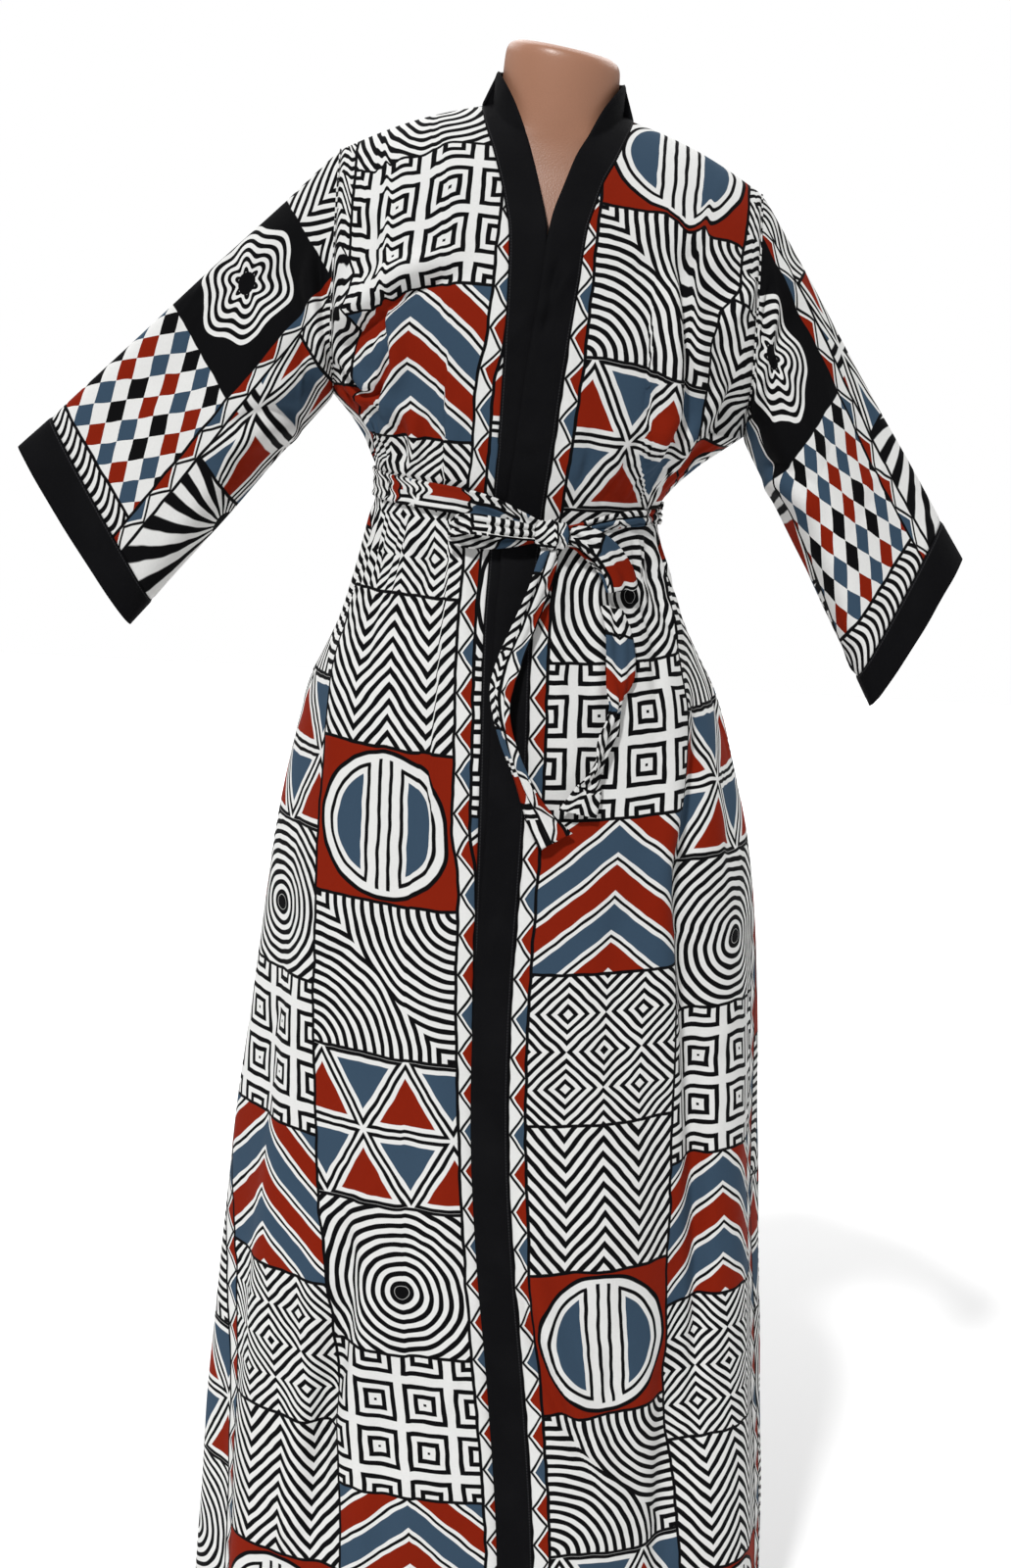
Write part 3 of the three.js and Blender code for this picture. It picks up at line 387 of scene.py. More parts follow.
# Creases of each panel in the plane of x and height: the places along it, half width, height, kind.
creases = dict(
    front_right=[
        (-64, 1190, -66, 1125, -69, 1053, -71, 886, 7, 2.8, "tuck"), (-81, 1345, -74, 1238, 6, 3.0, "tuck"),
        (-198, 1334, -173, 1372, -154, 1387, -128, 1409, -104, 1421, -60, 1436, 13, 13.0, "drape"),
        (-192, 1384, -160, 1412, -118, 1432, -74, 1446, 9, 3.0),
        (-194, 1342, -161, 1362, -138, 1366, 12, -9.0),
        (-148, 1396, -137, 1360, -133, 1333, -139, 1309, -141, 1258, 9, 8.0, "drape"),
        (-192, 1336, -168, 1318, -154, 1309, -134, 1324, 8, 7.5, "drape"),
        (-186, 1314, -159, 1295, -136, 1302, 6, 4.5, "drape"),
        (-172, 1300, -150, 1272, -132, 1262, 5, 3.0, "drape"),
        (-172, 1474, -163, 1437, -168, 1400, 9, -4.7), (-150, 1470, -146, 1440, -152, 1410, 8, 2.6),
        (-96, 1306, -95, 1236, 5, -3.2), (-58, 1312, -54, 1236, 5, -2.8), (-124, 1292, -114, 1240, 6, -5.2),
        (-108, 1300, -104, 1238, 5, 2.6), (-124, 1180, -136, 1112, -140, 1040, 6, -3.4),
        (-101, 1186, -100, 1125, 5, 2.4), (-84, 1182, -90, 1100, 5, -2.2), (-46, 1186, -44, 1090, 5, 2.0),
        (-160, 1090, -166, 1044, -168, 930, 7, 3.0), (-35, 1196, -38, 1080, 5, -2.4),
        (-144, 560, -130, 471, -137, 387, -148, 305, -153, 150, 10, -11.5),
        (-166, 520, -160, 400, -176, 250, -180, 140, 12, 6.5),
        (-230, 660, -225, 487, -238, 326, -242, 120, 9, 3.4), (-60, 760, -44, 600, -30, 430, 16, 5.2),
        (-154, 687, -80, 690, -16, 693, 3, 0.9), (-100, 900, -112, 740, -104, 600, 13, -4.5),
        (-96, 420, -84, 260, -92, 110, 13, -5.2),
    ],
    front_left=[
        (99, 1425, 106, 1337, 115, 1250, 6, 3.0, "tuck"),
        (114, 1240, 134, 1302, 138, 1327, 134, 1368, 125, 1427, 115, 1464, 12, 12.0, "drape"),
        (122, 1482, 141, 1452, 158, 1431, 182, 1404, 14, -7.2),
        (140, 1412, 151, 1359, 150, 1322, 139, 1284, 8, 5.2), (172, 1404, 191, 1433, 196, 1452, 8, 5.9),
        (160, 1404, 184, 1357, 186, 1312, 8, -5.9), (198, 1345, 176, 1300, 152, 1262, 8, -6.5),
        (188, 1362, 158, 1310, 134, 1256, 7, 5.5), (84, 1502, 130, 1482, 176, 1444, 12, 4.7),
        (78, 1452, 100, 1446, 122, 1430, 8, -2.6), (55, 1304, 60, 1236, 5, -3.0),
        (77, 1310, 88, 1236, 5, 3.2), (101, 1300, 109, 1237, 5, -3.4), (40, 1300, 42, 1240, 5, 2.0),
        (160, 1130, 181, 1058, 189, 1019, 181, 929, 173, 870, 187, 763, 201, 630, 217, 472, 220, 358,
         225, 150, 10, -13.5),
        (205, 1060, 213, 990, 224, 925, 226, 850, 8, -5.9),
        (150, 1090, 160, 960, 156, 850, 172, 700, 184, 560, 196, 400, 13, 7.8),
        (29, 1188, 38, 1109, 50, 1020, 6, 3.0), (114, 1188, 134, 1108, 141, 1020, 7, -5.2),
        (70, 1186, 80, 1120, 82, 1010, 6, 3.0), (92, 1190, 108, 1120, 112, 1060, 5, -2.6),
        (134, 1186, 152, 1120, 156, 1070, 5, 2.6), (20, 580, 56, 447, 93, 354, 160, 225, 13, 7.8, "drape"),
        (70, 560, 110, 440, 150, 340, 13, -4.5), (36, 705, 100, 694, 170, 679, 3, 0.9),
        (120, 880, 112, 760, 126, 640, 14, -4.5), (184, 420, 196, 300, 190, 130, 12, -7.2),
    ],
    back=[
        (-66, 1190, -82, 900, 7, 3.6), (70, 1190, 84, 880, 7, 4.3), (-70, 1330, -66, 1238, 6, 3.8),
        (72, 1335, 70, 1238, 6, 3.8), (-186, 1350, -90, 1450, 15, 8.5), (190, 1352, 96, 1448, 15, 8.5),
        (-180, 1318, -104, 1400, 12, -7.6), (184, 1322, 108, 1396, 12, -7.6),
        (-150, 1300, -120, 1240, 6, -4.2), (150, 1300, 122, 1240, 6, -4.2), (-28, 1300, -22, 1236, 6, -3.2),
        (30, 1310, 26, 1236, 6, 3.2), (-40, 1180, -46, 1020, 6, -3.0), (20, 1180, 24, 980, 7, 3.0),
        (-120, 900, -170, 360, 13, 6.3), (130, 880, 176, 340, 13, -6.3), (-30, 700, -60, 200, 14, -6.3),
        (60, 720, 84, 180, 14, 6.3),
    ],
    band_right=[
        (-12, 1290, -60, 1268, 4, 2.2), (-14, 1276, -58, 1256, 3, -1.8), (-6, 1400, -40, 1352, 6, 1.8),
        (-30, 1140, 4, 1128, 3, 1.2),
    ],
    band_left=[
        (30, 1446, 14, 1420, -6, 1388, 6, 3.2), (12, 1452, 4, 1376, 4, -3.0), (34, 1296, -10, 1278, 4, 2.2),
        (32, 1280, -10, 1264, 3, -1.8), (26, 1128, -20, 1120, 3, 1.4), (54, 560, 10, 540, 4, 1.6),
        (20, 900, -14, 780, 6, 1.4),
    ],
)


def restlessLift(u, v, seed, count, high):
    # The small rumples of pressed cotton: faint short strokes scattered over the cloth, and slow waves.
    draw = np.random.default_rng(seed)
    lift = (0.5 * np.sin(u / 41 + 1.7 * np.sin(v / 96 + seed)) * np.sin(v / 77 + seed)
            + 0.35 * np.sin(u / 23 + v / 61 + seed) * np.sin(v / 47 - u / 88))
    low, span = np.array([u.min(), v.min()]), np.array([np.ptp(u), np.ptp(v)])
    starts = low + draw.random((count, 2)) * span
    for k in range(count):
        turn, length = draw.uniform(0, np.pi), draw.uniform(30, 110)
        end = starts[k] + length * np.array([math.cos(turn), math.sin(turn)])
        stroke = (*starts[k], *end, draw.uniform(3, 8), draw.uniform(-1.1, 1.1))
        lift = lift + creaseLift(u, v, [stroke])
    return lift * high


def flat(values):
    return values.reshape(-1).astype(np.float32)


def addObject(name, data):
    added = bpy.data.objects.new(name, data)
    bpy.context.scene.collection.objects.link(added)
    return added


def addPiece(mesh, materials, node):
    # Every piece rides on the one body and stands for its own solid.
    mesh.validate()
    mesh.polygons.foreach_set("use_smooth", np.ones(len(mesh.polygons), bool))
    for material in materials:
        mesh.materials.append(material)
    piece = addObject(mesh.name, mesh)
    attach(piece, "root")
    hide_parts(node)
    return piece


def gridCorners(rows, columns, closed):
    # The row and column of each corner of the quads between a grid's points. Where the grid is closed,
    # the last column joins the first.
    i, j = np.meshgrid(np.arange(rows - 1), np.arange(columns if closed else columns - 1), indexing="ij")
    i, j = i.ravel(), j.ravel()
    return asPoints(i, i, i + 1, i + 1), asPoints(j, j + 1, j + 1, j)


def quadNormals(corners):
    return np.cross(corners[:, 1] - corners[:, 0], corners[:, 3] - corners[:, 0])


def makeCloth(node, ending, points, uv, cloth, closed=False, whole=False, hem=None):
    # A grid of points becomes a sheet of quads that face outwards, with a UV for each corner, and gets
    # its thickness from Solidify. The cloth is its slot, which is not used here, its thickness and its
    # materials.
    slot, thickness, *materials = cloth
    rows, columns = points.shape[:2]
    i, j = gridCorners(rows, columns, closed)
    outward = outwardNormals(points, closed)[i[:, 0], j[:, 0]]
    if (quadNormals(points[i, j % columns]) * outward).sum() < 0:
        i, j = i[:, ::-1], j[:, ::-1]
    ids = i * columns + j % columns
    mesh = bpy.data.meshes.new(node + "_" + ending)
    mesh.vertices.add(rows * columns)
    mesh.vertices.foreach_set("co", flat(leaned(points, whole) / 1000))
    mesh.loops.add(ids.size)
    mesh.loops.foreach_set("vertex_index", ids.reshape(-1).astype(np.int32))
    mesh.polygons.add(len(ids))
    mesh.polygons.foreach_set("loop_start", np.arange(0, ids.size, 4, dtype=np.int32))
    mesh.uv_layers.new(name="cloth").uv.foreach_set("vector", flat(uv[i, j] / 1000))
    if hem is not None:
        mesh.attributes.new("hem", "FLOAT", "POINT").data.foreach_set("value", flat(hem / 1000))
    mesh.update(calc_edges=True)
    piece = addPiece(mesh, materials, node)
    solid = piece.modifiers.new("thickness", "SOLIDIFY")
    solid.thickness, solid.offset = thickness / 1000, 0
    solid.material_offset, solid.material_offset_rim = len(materials) - 1, 0


def makeSolid(node, ending, rings, material):
    # Closed rings of points become a filled shape, with a fan of triangles to a middle point at each end.
    count, around = rings.shape[:2]
    hubs = np.stack([rings[0].mean(axis=0), rings[-1].mean(axis=0)])
    points = np.concatenate([rings.reshape(-1, 3), hubs])
    i, j = gridCorners(count, around, True)
    quads = i * around + j % around
    k = np.arange(around)
    hub, last = count * around, (count - 1) * around
    nextK = (k + 1) % around
    caps = np.concatenate([asPoints(hub, nextK, k), asPoints(hub + 1, last + k, last + nextK)])
    if (quadNormals(points[quads]) * (points[quads[:, 0]] - hubs.mean(axis=0))).sum() < 0:
        quads, caps = quads[:, ::-1], caps[:, ::-1]
    mesh = bpy.data.meshes.new(node + "_" + ending)
    mesh.from_pydata((points / 1000).tolist(), [], quads.tolist() + caps.tolist())
    return addPiece(mesh, [material], node)


def raised(points, lift, closed=False):
    return points + outwardNormals(points, closed) * lift[..., None]


def runs(points, axis):
    # How far each point lies along its row or column, as a length of cloth.
    steps = np.linalg.norm(np.diff(points, axis=axis), axis=-1)
    start = np.zeros_like(np.take(steps, [0], axis=axis))
    return np.concatenate([start, np.cumsum(steps, axis=axis)], axis=axis)


# The printed cotton's inks, and how far the wrong side is faded towards white.
inks = dict(
    white=(0.80, 0.80, 0.785), black=(0.0042, 0.0042, 0.0048), red=(0.235, 0.015, 0.004),
    blue=(0.043, 0.077, 0.121), wrongSide=0.42, stitch=(0.55, 0.55, 0.54),
    blackCloth=(0.0042, 0.0042, 0.0050), fadedBlack=(0.020, 0.020, 0.022), blackStitch=(0.026, 0.026, 0.028),
)
# The print's sizes in metres: blocks and the border between them, the motifs' lines and their edges.
printed = dict(
    block=0.150, border=0.017, blockHigh=0.147, pitch=0.0096, line=0.49, soft=0.10, edge=0.0006,
    stroke=0.0018, outline=0.0032, wander=0.0018, start=49.135, sleeve=0.146, sash=0.078, thread=0.0009,
    hem=0.016,
)


def makeNode(tree, kind, links=(), **values):
    # a shader node with its settings or its sockets' numbers, and what it is linked to
    node = tree.nodes.new("ShaderNode" + kind)
    for name, value in values.items():
        if hasattr(node, name):
            setattr(node, name, value)
        else:
            node.inputs[name.replace("_", " ")].default_value = value
    for socket, name in links:
        tree.links.new(socket, node.inputs[name])
    return node


class Wire:
    # A number that runs through a material's nodes. Arithmetic on it adds a Math node for each step.
    def __init__(self, tree, socket):
        self.tree, self.socket = tree, socket

    def step(self, operation, *others, clamp=False):
        node = makeNode(self.tree, "Math", operation=operation, use_clamp=clamp)
        for slot, value in enumerate((self, *others)):
            if isinstance(value, Wire):
                self.tree.links.new(value.socket, node.inputs[slot])
            else:
                node.inputs[slot].default_value = value
        return Wire(self.tree, node.outputs[0])

    def __rsub__(self, other):
        return self.step("MULTIPLY_ADD", -1.0, other)

    def wave(self, length):
        return (self * (2 * math.pi / length)).step("SINE")

    def far(self, other):
        return (self * self + other * other).step("SQRT")

    def under(self, limit, soft=printed["edge"]):
        # 1 below the limit and 0 above it, with a soft edge
        return self.step("MULTIPLY_ADD", -1 / soft, limit / soft + 0.5, clamp=True)

    def no(self):
        return 1.0 - self


def stepOf(operation):
    return lambda wire, *others: wire.step(operation, *others)


for name, operation in dict(
        __add__="ADD", __sub__="SUBTRACT", __mul__="MULTIPLY", __truediv__="DIVIDE", __abs__="ABSOLUTE",
        floor="FLOOR", part="FRACT", most="MAXIMUM", least="MINIMUM", bounce="PINGPONG",
        over="GREATER_THAN").items():
    setattr(Wire, name, stepOf(operation))


def stripes(count, weight):
    # A black stripe at each whole number, as heavy as the weight says.
    share = count.bounce(0.5) * 2
    return (weight - share).step("MULTIPLY_ADD", 1 / printed["soft"], 0.5, clamp=True)


def lines(distance, weight):
    return stripes(distance / printed["pitch"], weight)


def stroke(off):
    # one black line where the distance is 0
    return abs(off).under(printed["stroke"])


def fromMiddle(place, size):
    # the distance to the middle of each of the cells that a row is parted into
    return abs((place / size).part() - 0.5)


# Each motif takes its place in a block, in metres from the block's middle, and gives its black and, if it
# has them, its red and blue, from 0 to 1. What is none of them is white.
half, halfHigh = printed["block"] / 2, printed["blockHigh"] / 2


def ripples(x, y, weight):
    off = (x - 0.012).far(y + 0.01)
    return [lines(off, weight).most(off.under(0.007, 0.0005))]


def basket(x, y, weight):
    cell = ((x + half) / 0.05).floor() + ((y + half) / 0.05).floor()
    turned = (cell / 2).part().over(0.25)
    return [lines(x, weight) * turned + lines(y, weight) * turned.no()]


def fans(x, y, weight):
    return [lines((x + half).far(y + 0.074).least((x - half).far(y - 0.074)), weight)]


def zigzags(x, y, weight):
    return [lines((y + (x + half).bounce(half / 2) * 1.2) * 0.64, weight)]


def waves(x, y, weight):
    return [lines(x + y.wave(halfHigh) * 0.011, weight)]


def nests(x, y, weight):
    off = fromMiddle(x + 0.15, 0.05).most(fromMiddle(y + 0.1475, 0.049))
    return [lines((off * -1.0 + 0.5) * 0.05 + 0.0028, weight)]


def lozenges(x, y, weight):
    across, up = fromMiddle(x + 0.15, half) * 0.066, fromMiddle(y + 0.1475, halfHigh) * 0.066
    return [lines(across + up + 0.003, weight)]


def pennants(x, y, weight):
    # Rows of triangles that point up and down by turns, red and blue. From its edge inwards each is
    # white, a black line, white, then its colour.
    high, wide = halfHigh, 0.09
    row = (y + halfHigh + high) / high
    up = row.part()
    lean = up.no() - fromMiddle((x + 0.2) / wide + (row.floor() * 0.5), 1) * 2
    pointsUp = lean.over(0.0)
    level = up * pointsUp + up.no() * pointsUp.no()
    edge = (abs(lean) * (0.43 * wide)).least(level * high) + 0.004
    fill = edge.under(0.0137).no()
    return stroke(edge - 0.0075), fill * pointsUp, fill * pointsUp.no()


def moons(x, y, weight):
    # A red ground that holds a white disc, with two blue half moons and stripes between them.
    off, side = x.far(y), abs(x)
    black = stroke(side - 0.0055) * off.under(0.062)
    black = black.most(stroke(off - 0.0575) * side.over(0.0160))
    black = black.most(stroke(side - 0.0175) * off.under(0.0575))
    black = black.most(abs(off - 0.0690).under(0.0021))
    return black, off.under(0.0695).no(), off.under(0.051) * side.over(0.0235)


def arrows(x, y, weight):
    # Broad chevrons in red and blue, edged in white and black.
    place = ((y + abs(x) * 0.8 + 0.3) / 0.074).part() * 0.074
    line = stroke(place - 0.0035).most(stroke(place - 0.0405))
    return line, abs(place - 0.022).under(0.0122), abs(place - 0.059).under(0.0122)


def rosettes(x, y, weight):
    # Scalloped rings, white on black.
    off = x.far(y) + (y.step("ARCTAN2", x) * 6.0).step("COSINE") * 0.0035
    return [lines(off, weight).most(off.under(0.056).no()).most(x.far(y).under(0.0105))]


def harlequin(x, y, weight):
    # Small lozenges, every other one white and the rest black, red or blue by turns.
    a, b = ((x / 0.023) + (y / 0.030) + 40).floor(), ((x / 0.023) - (y / 0.030) + 40).floor()
    dark = ((a + b) / 2).part().over(0.25).no()
    kind = ((a * 2 + b) / 6).part()
    black, red, blue = kind.under(0.25, 0.01), kind.over(0.25) * kind.under(0.6, 0.01), kind.over(0.6)
    return dark * black, dark * red, dark * blue


def rays(x, y, weight):
    turn = (y + 0.05).step("ARCTAN2", x + 0.01)
    disc = (x + 0.01).far(y + 0.05).under(0.014, 0.0005)
    return [stripes(turn * (22 / (2 * math.pi)), weight).most(disc)]


def spikes(x, y, weight):
    return pennants(x * 1.25, y * 0.55, weight)


bodyMotifs = (ripples, pennants, fans, moons, zigzags, lozenges, arrows, nests)
sleeveMotifs = (rosettes, harlequin, waves, spikes, rays, zigzags)
sashMotifs = (zigzags, lozenges, pennants, basket, zigzags, arrows)


def newMaterial(name, settings):
    # a material whose shader has these numbers of its own
    material = bpy.data.materials.new(name)
    material.use_nodes = True
    shader = material.node_tree.nodes["Principled BSDF"]
    for socket, value in settings.items():
        shader.inputs[socket].default_value = value
    return material, material.node_tree, shader


def tinted(tree, color, other, factor):
    # One colour laid over another where the factor is 1.
    node = makeNode(tree, "Mix", [(factor.socket, "Factor")], data_type="RGBA")
    for name, value in (("A", color), ("B", other)):
        socket = next(s for s in node.inputs if s.name == name and s.type == "RGBA")
        if isinstance(value, bpy.types.NodeSocket):
            tree.links.new(value, socket)
        else:
            socket.default_value = (*value, 1)
    return next(s for s in node.outputs if s.type == "RGBA")


def noiseOn(tree, vector, scale, detail=2.0):
    node = makeNode(tree, "TexNoise", [(vector, "Vector")], Scale=scale, Detail=detail)
    return Wire(tree, node.outputs["Fac"])


def clothAxes(tree):
    # the cloth's own map, and its two lengths in metres
    cloth = makeNode(tree, "UVMap", uv_map="cloth").outputs["UV"]
    apart = makeNode(tree, "SeparateXYZ", [(cloth, "Vector")])
    return cloth, Wire(tree, apart.outputs[0]), Wire(tree, apart.outputs[1])


def weaveOn(u, v):
    # Plain weave: threads across and along by turns.
    return (u.wave(printed["thread"]) * v.wave(printed["thread"])) * 0.5 + 0.5


def finishSurface(tree, shader, color, roughness, height, strength, distance):
    node = makeNode(tree, "Bump", [(height.socket, "Height")], Strength=strength, Distance=distance)
    for socket, name in ((color, "Base Color"), (roughness.socket, "Roughness"), (node.outputs[0], "Normal")):
        tree.links.new(socket, shader.inputs[name])


def printMaterial(name, motifs, block, fade, shift=(0.0, 0.0), middleOnly=1.0):
    # Columns of square blocks with a narrow border between each two, each column set off in height, and
    # a motif in each block. Black lines part the blocks. Below 1, middleOnly is the share of each motif
    # round its middle that its block shows.
    material, tree, shader = newMaterial(name, {
        "Specular IOR Level": 0.04, "Sheen Weight": 0.006, "Sheen Roughness": 0.5})
    cloth, u0, v0 = clothAxes(tree)
    handDrawn = makeNode(tree, "TexNoise", [(cloth, "Vector")], Scale=38.0, Detail=1.0)
    colors = makeNode(tree, "SeparateColor", [(handDrawn.outputs["Color"], "Color")]).outputs
    wander = [Wire(tree, colors[k]) - 0.5 for k in range(3)]
    u, v = (length + wander[k] * (2 * printed["wander"]) + (printed["start"] + shift[k])
            for k, length in enumerate((u0, v0)))
    weight = wander[2] * 0.16 + printed["line"]
    scale = block / printed["block"]
    high = printed["blockHigh"] * scale
    halfBorder = printed["border"] / 2
    period = 2 * block + printed["border"]
    pair = (u / period).floor()
    inside = u - pair * period
    second = inside.over(block)
    border = inside.over(2 * block)
    inner = border.no()
    column = pair * 2 + second
    x = (inside - second * block - block / 2) * (middleOnly / scale)
    row = (v + (column * 0.37).part() * high) / high
    y = (row.part() - 0.5) * (printed["blockHigh"] * middleOnly)
    pick = ((row.floor() + column * 3 + 0.5) / len(motifs)).part() * len(motifs)
    layers = [None, None, None]
    for order, motif in enumerate(motifs):
        chosen = abs(pick - (order + 0.5)).under(0.5, 0.001)
        for k, part in enumerate(motif(x, y, weight)):
            layers[k] = part * chosen if layers[k] is None else layers[k].most(part * chosen)
    # the narrow border: teeth in red, every third one in blue, on white
    away = inside - (2 * block + halfBorder)
    tooth = away * (1 / printed["border"]) - fromMiddle(v, 0.038) * 1.5 + 0.38
    filled = border * tooth.over(0.22)
    inBlue = (v / 0.114).part().over(0.66)
    bordered = border * abs(tooth).under(0.085, 0.05), filled * inBlue.no(), filled * inBlue
    black, red, blue = (layer * inner + part for layer, part in zip(layers, bordered))
    # black lines between the blocks
    sides = (block / 2 - abs(x) * (scale / middleOnly)) * inner + (halfBorder - abs(away)) * border
    edges = sides.least((abs(row.part() - 0.5) * -1.0 + 0.5) * high * inner + border)
    black = black.most(edges.under(printed["outline"] / 2))
    white, *colours = (tuple(mix(c, w, fade * 0.75) for c, w in zip(inks[key], inks["white"]))
                       for key in ("white", "red", "blue", "black"))
    color = white
    for ink, layer in zip(colours, (red, blue, black)):
        color = tinted(tree, color, ink, layer.least(1.0))
    slub, patchy = noiseOn(tree, cloth, 420.0), noiseOn(tree, cloth, 9.0)
    shade = (slub - 0.5) * 0.10 + (patchy - 0.5) * 0.10 + 1.0
    toned = makeNode(tree, "VectorMath", [(color, 0), (shade.socket, "Scale")], operation="SCALE")
    hem = Wire(tree, makeNode(tree, "Attribute", attribute_name="hem").outputs["Fac"])
    stitch = (abs(hem - printed["hem"]).under(0.0006, 0.0004) * ((u0 / 0.0032).part().over(0.25))
              * hem.over(0.001))
    color = tinted(tree, toned.outputs[0], inks["stitch"], stitch * 0.8)
    rough = black.most(red).most(blue).least(1.0) * -0.12 + 0.88 + (slub - 0.5) * 0.1
    rumple = noiseOn(tree, cloth, 32.0, 3.0) * 1.0 + weaveOn(u0, v0) * 0.05 + stitch * -0.25
    finishSurface(tree, shader, color, rough, rumple, 0.55, 0.0016)
    return material


def trimMaterial(name):
    # Plain black cotton with a line of stitches near its seam and a little fading.
    material, tree, shader = newMaterial(name, {
        "Specular IOR Level": 0.05, "Sheen Weight": 0.004, "Sheen Roughness": 0.45})
    cloth, u, v = clothAxes(tree)
    row = abs(u - 0.0022).under(0.0005, 0.0003) * (v / 0.003).part().over(0.28)
    slub, patchy = noiseOn(tree, cloth, 500.0), noiseOn(tree, cloth, 14.0, 3.0)
    faded = (patchy - 0.45).most(0.0) * 0.5 + (slub - 0.5).most(0.0) * 0.35
    color = tinted(tree, inks["blackCloth"], inks["fadedBlack"], faded)
    color = tinted(tree, color, inks["blackStitch"], row)
    rumple = noiseOn(tree, cloth, 26.0, 3.0) + weaveOn(u, v) * 0.06 + row * 0.2
    finishSurface(tree, shader, color, (slub - 0.5) * 0.12 + 0.72, rumple, 0.6, 0.0018)
    return material


def formMaterial(name):
    # A glossy skin-coloured shell with a fine moulded grain and a faint mottle.
    material, tree, shader = newMaterial(name, {
        "Specular IOR Level": 0.35, "Coat Weight": 0.22, "Coat Roughness": 0.30})
    place = makeNode(tree, "TexCoord").outputs["Object"]
    mottle, grain = noiseOn(tree, place, 7.0, 3.0), noiseOn(tree, place, 620.0)
    color = tinted(tree, (0.385, 0.184, 0.112), (0.455, 0.230, 0.147), mottle)
    finishSurface(tree, shader, color, (grain - 0.5) * 0.22 + 0.38, grain + mottle * 0.5, 0.35, 0.0006)
    return material


def standMaterial(name):
    # Black powder-coated steel, rubbed a little paler in patches.
    material, tree, shader = newMaterial(name, {"Metallic": 0.35})
    place = makeNode(tree, "TexCoord").outputs["Object"]
    grain, worn = noiseOn(tree, place, 900.0), noiseOn(tree, place, 18.0, 4.0)
    color = tinted(tree, (0.018, 0.018, 0.020), (0.055, 0.055, 0.058), (worn - 0.5).most(0.0) * 1.6)
    finishSurface(tree, shader, color, (worn - 0.5) * 0.25 + 0.42, grain, 0.4, 0.0004)
    return material


def bothSides(name, motifs, block, shift=(0.0, 0.0)):
    # the right side of a printed cloth and its faded wrong side
    return (printMaterial(name, motifs, block, 0.0, shift),
            printMaterial(name + "WrongSide", motifs, block, inks["wrongSide"], shift))


# Each cloth: its slot, its thickness in millimetres, its materials.
printCloth = ("print", 1.2, *bothSides("printedCotton", bodyMotifs, printed["block"]))
sleeveCloth = ("print", 1.2, *bothSides("sleevePrint", sleeveMotifs, printed["sleeve"], (0.03, 0.05)))
sashPrint = printMaterial("sashPrint", sashMotifs, printed["sash"], 0.0, (0.01, 0.02), 0.56)
beltCloth, stripCloth = ("print", 1.6, sashPrint), ("print", 1.7, sashPrint)
blackCloth = ("trim", 1.9, trimMaterial("blackCotton"))
formShell = formMaterial("formShell")
standPaint = standMaterial("standPaint")
print("materials made")

# The panels' seams, where their creases fade (at the edges and the sash), the level of the grain line at
# the armhole, and how far the bands stand proud and turn in at their edges.
panel = dict(seamTurn=1.1, seamReach=3.2, edgeFade=14, sashFade=16, grainTop=1343, bandProud=0.5,
             bandSeam=1.6)
# The tuck in each front takes cloth out of the print: heights and x of its line, how much it takes, and
# where that fades at its top and foot.
tucks = dict(
    right=dict(z=(886, 1053, 1190, 1238, 1345), x=(-71, -69, -64, -74, -81), top=(1380, 60), foot=(860, 60)),
    left=dict(z=(1250, 1425), x=(115, 99), top=(1440, 60), foot=(1225, 20)),
    take=8.0,
)


def seamDip(distance):
    # A seam's allowance is turned in, which draws the cloth down beside the stitches.
    return -panel["seamTurn"] * bump(distance, panel["seamReach"])


def panelUv(points, grainX, side):
    # u is the length of cloth from an upright grain line, and v the length from the waist.
    steps = np.linalg.norm(np.diff(points, axis=1), axis=-1)
    x = points[..., 0] * side
    share = np.clip((x[:, :-1] - grainX * side) / np.maximum(x[:, :-1] - x[:, 1:], 1e-6), 0, 1)
    toGrain = (steps * share).sum(axis=1) + np.maximum(0, x[:, -1] - grainX[:, 0] * side)
    up = runs(points, 0)
    return asPoints(side * (toGrain[:, None] - runs(points, 1)), up - up[waistRow])


def fadeAtEdges(points):
    along = runs(points, 1)
    return smooth(along / panel["edgeFade"]) * smooth((along[:, -1:] - along) / panel["edgeFade"])


def offSash(points):
    # 0 on the sash and 1 away from it
    off = np.abs(points[..., 2] - sashLine(points[..., 0], points[..., 1] < 0))
    return smooth((off - sashPath["half"]) / panel["sashFade"])


def panelLift(points, name, seed, count, lastSeam):
    # How far a panel's points stand off its plain surface: its creases, then its seams.
    a, b = points[..., 0], points[..., 2]
    lift = creaseLift(a, b, creases[name]) + restlessLift(a, b, seed, count, 1.7)
    up, across = runs(points, 0), runs(points, 1)
    lift = lift * fadeAtEdges(points) * offSash(points) * smooth((up[-1] - up) / panel["edgeFade"])
    return lift + seamDip(across) + seamDip(across[:, -1:] - across) * lastSeam


back = backGrid()
backPoints = raised(back, panelLift(back, "back", 11, 46, 1))
up, across = runs(backPoints, 0), runs(backPoints, 1)
backUv = asPoints(across - across[:, across.shape[1] // 2][:, None], up - up[waistRow])
makeCloth("back", "panel", backPoints, backUv, printCloth, hem=up)

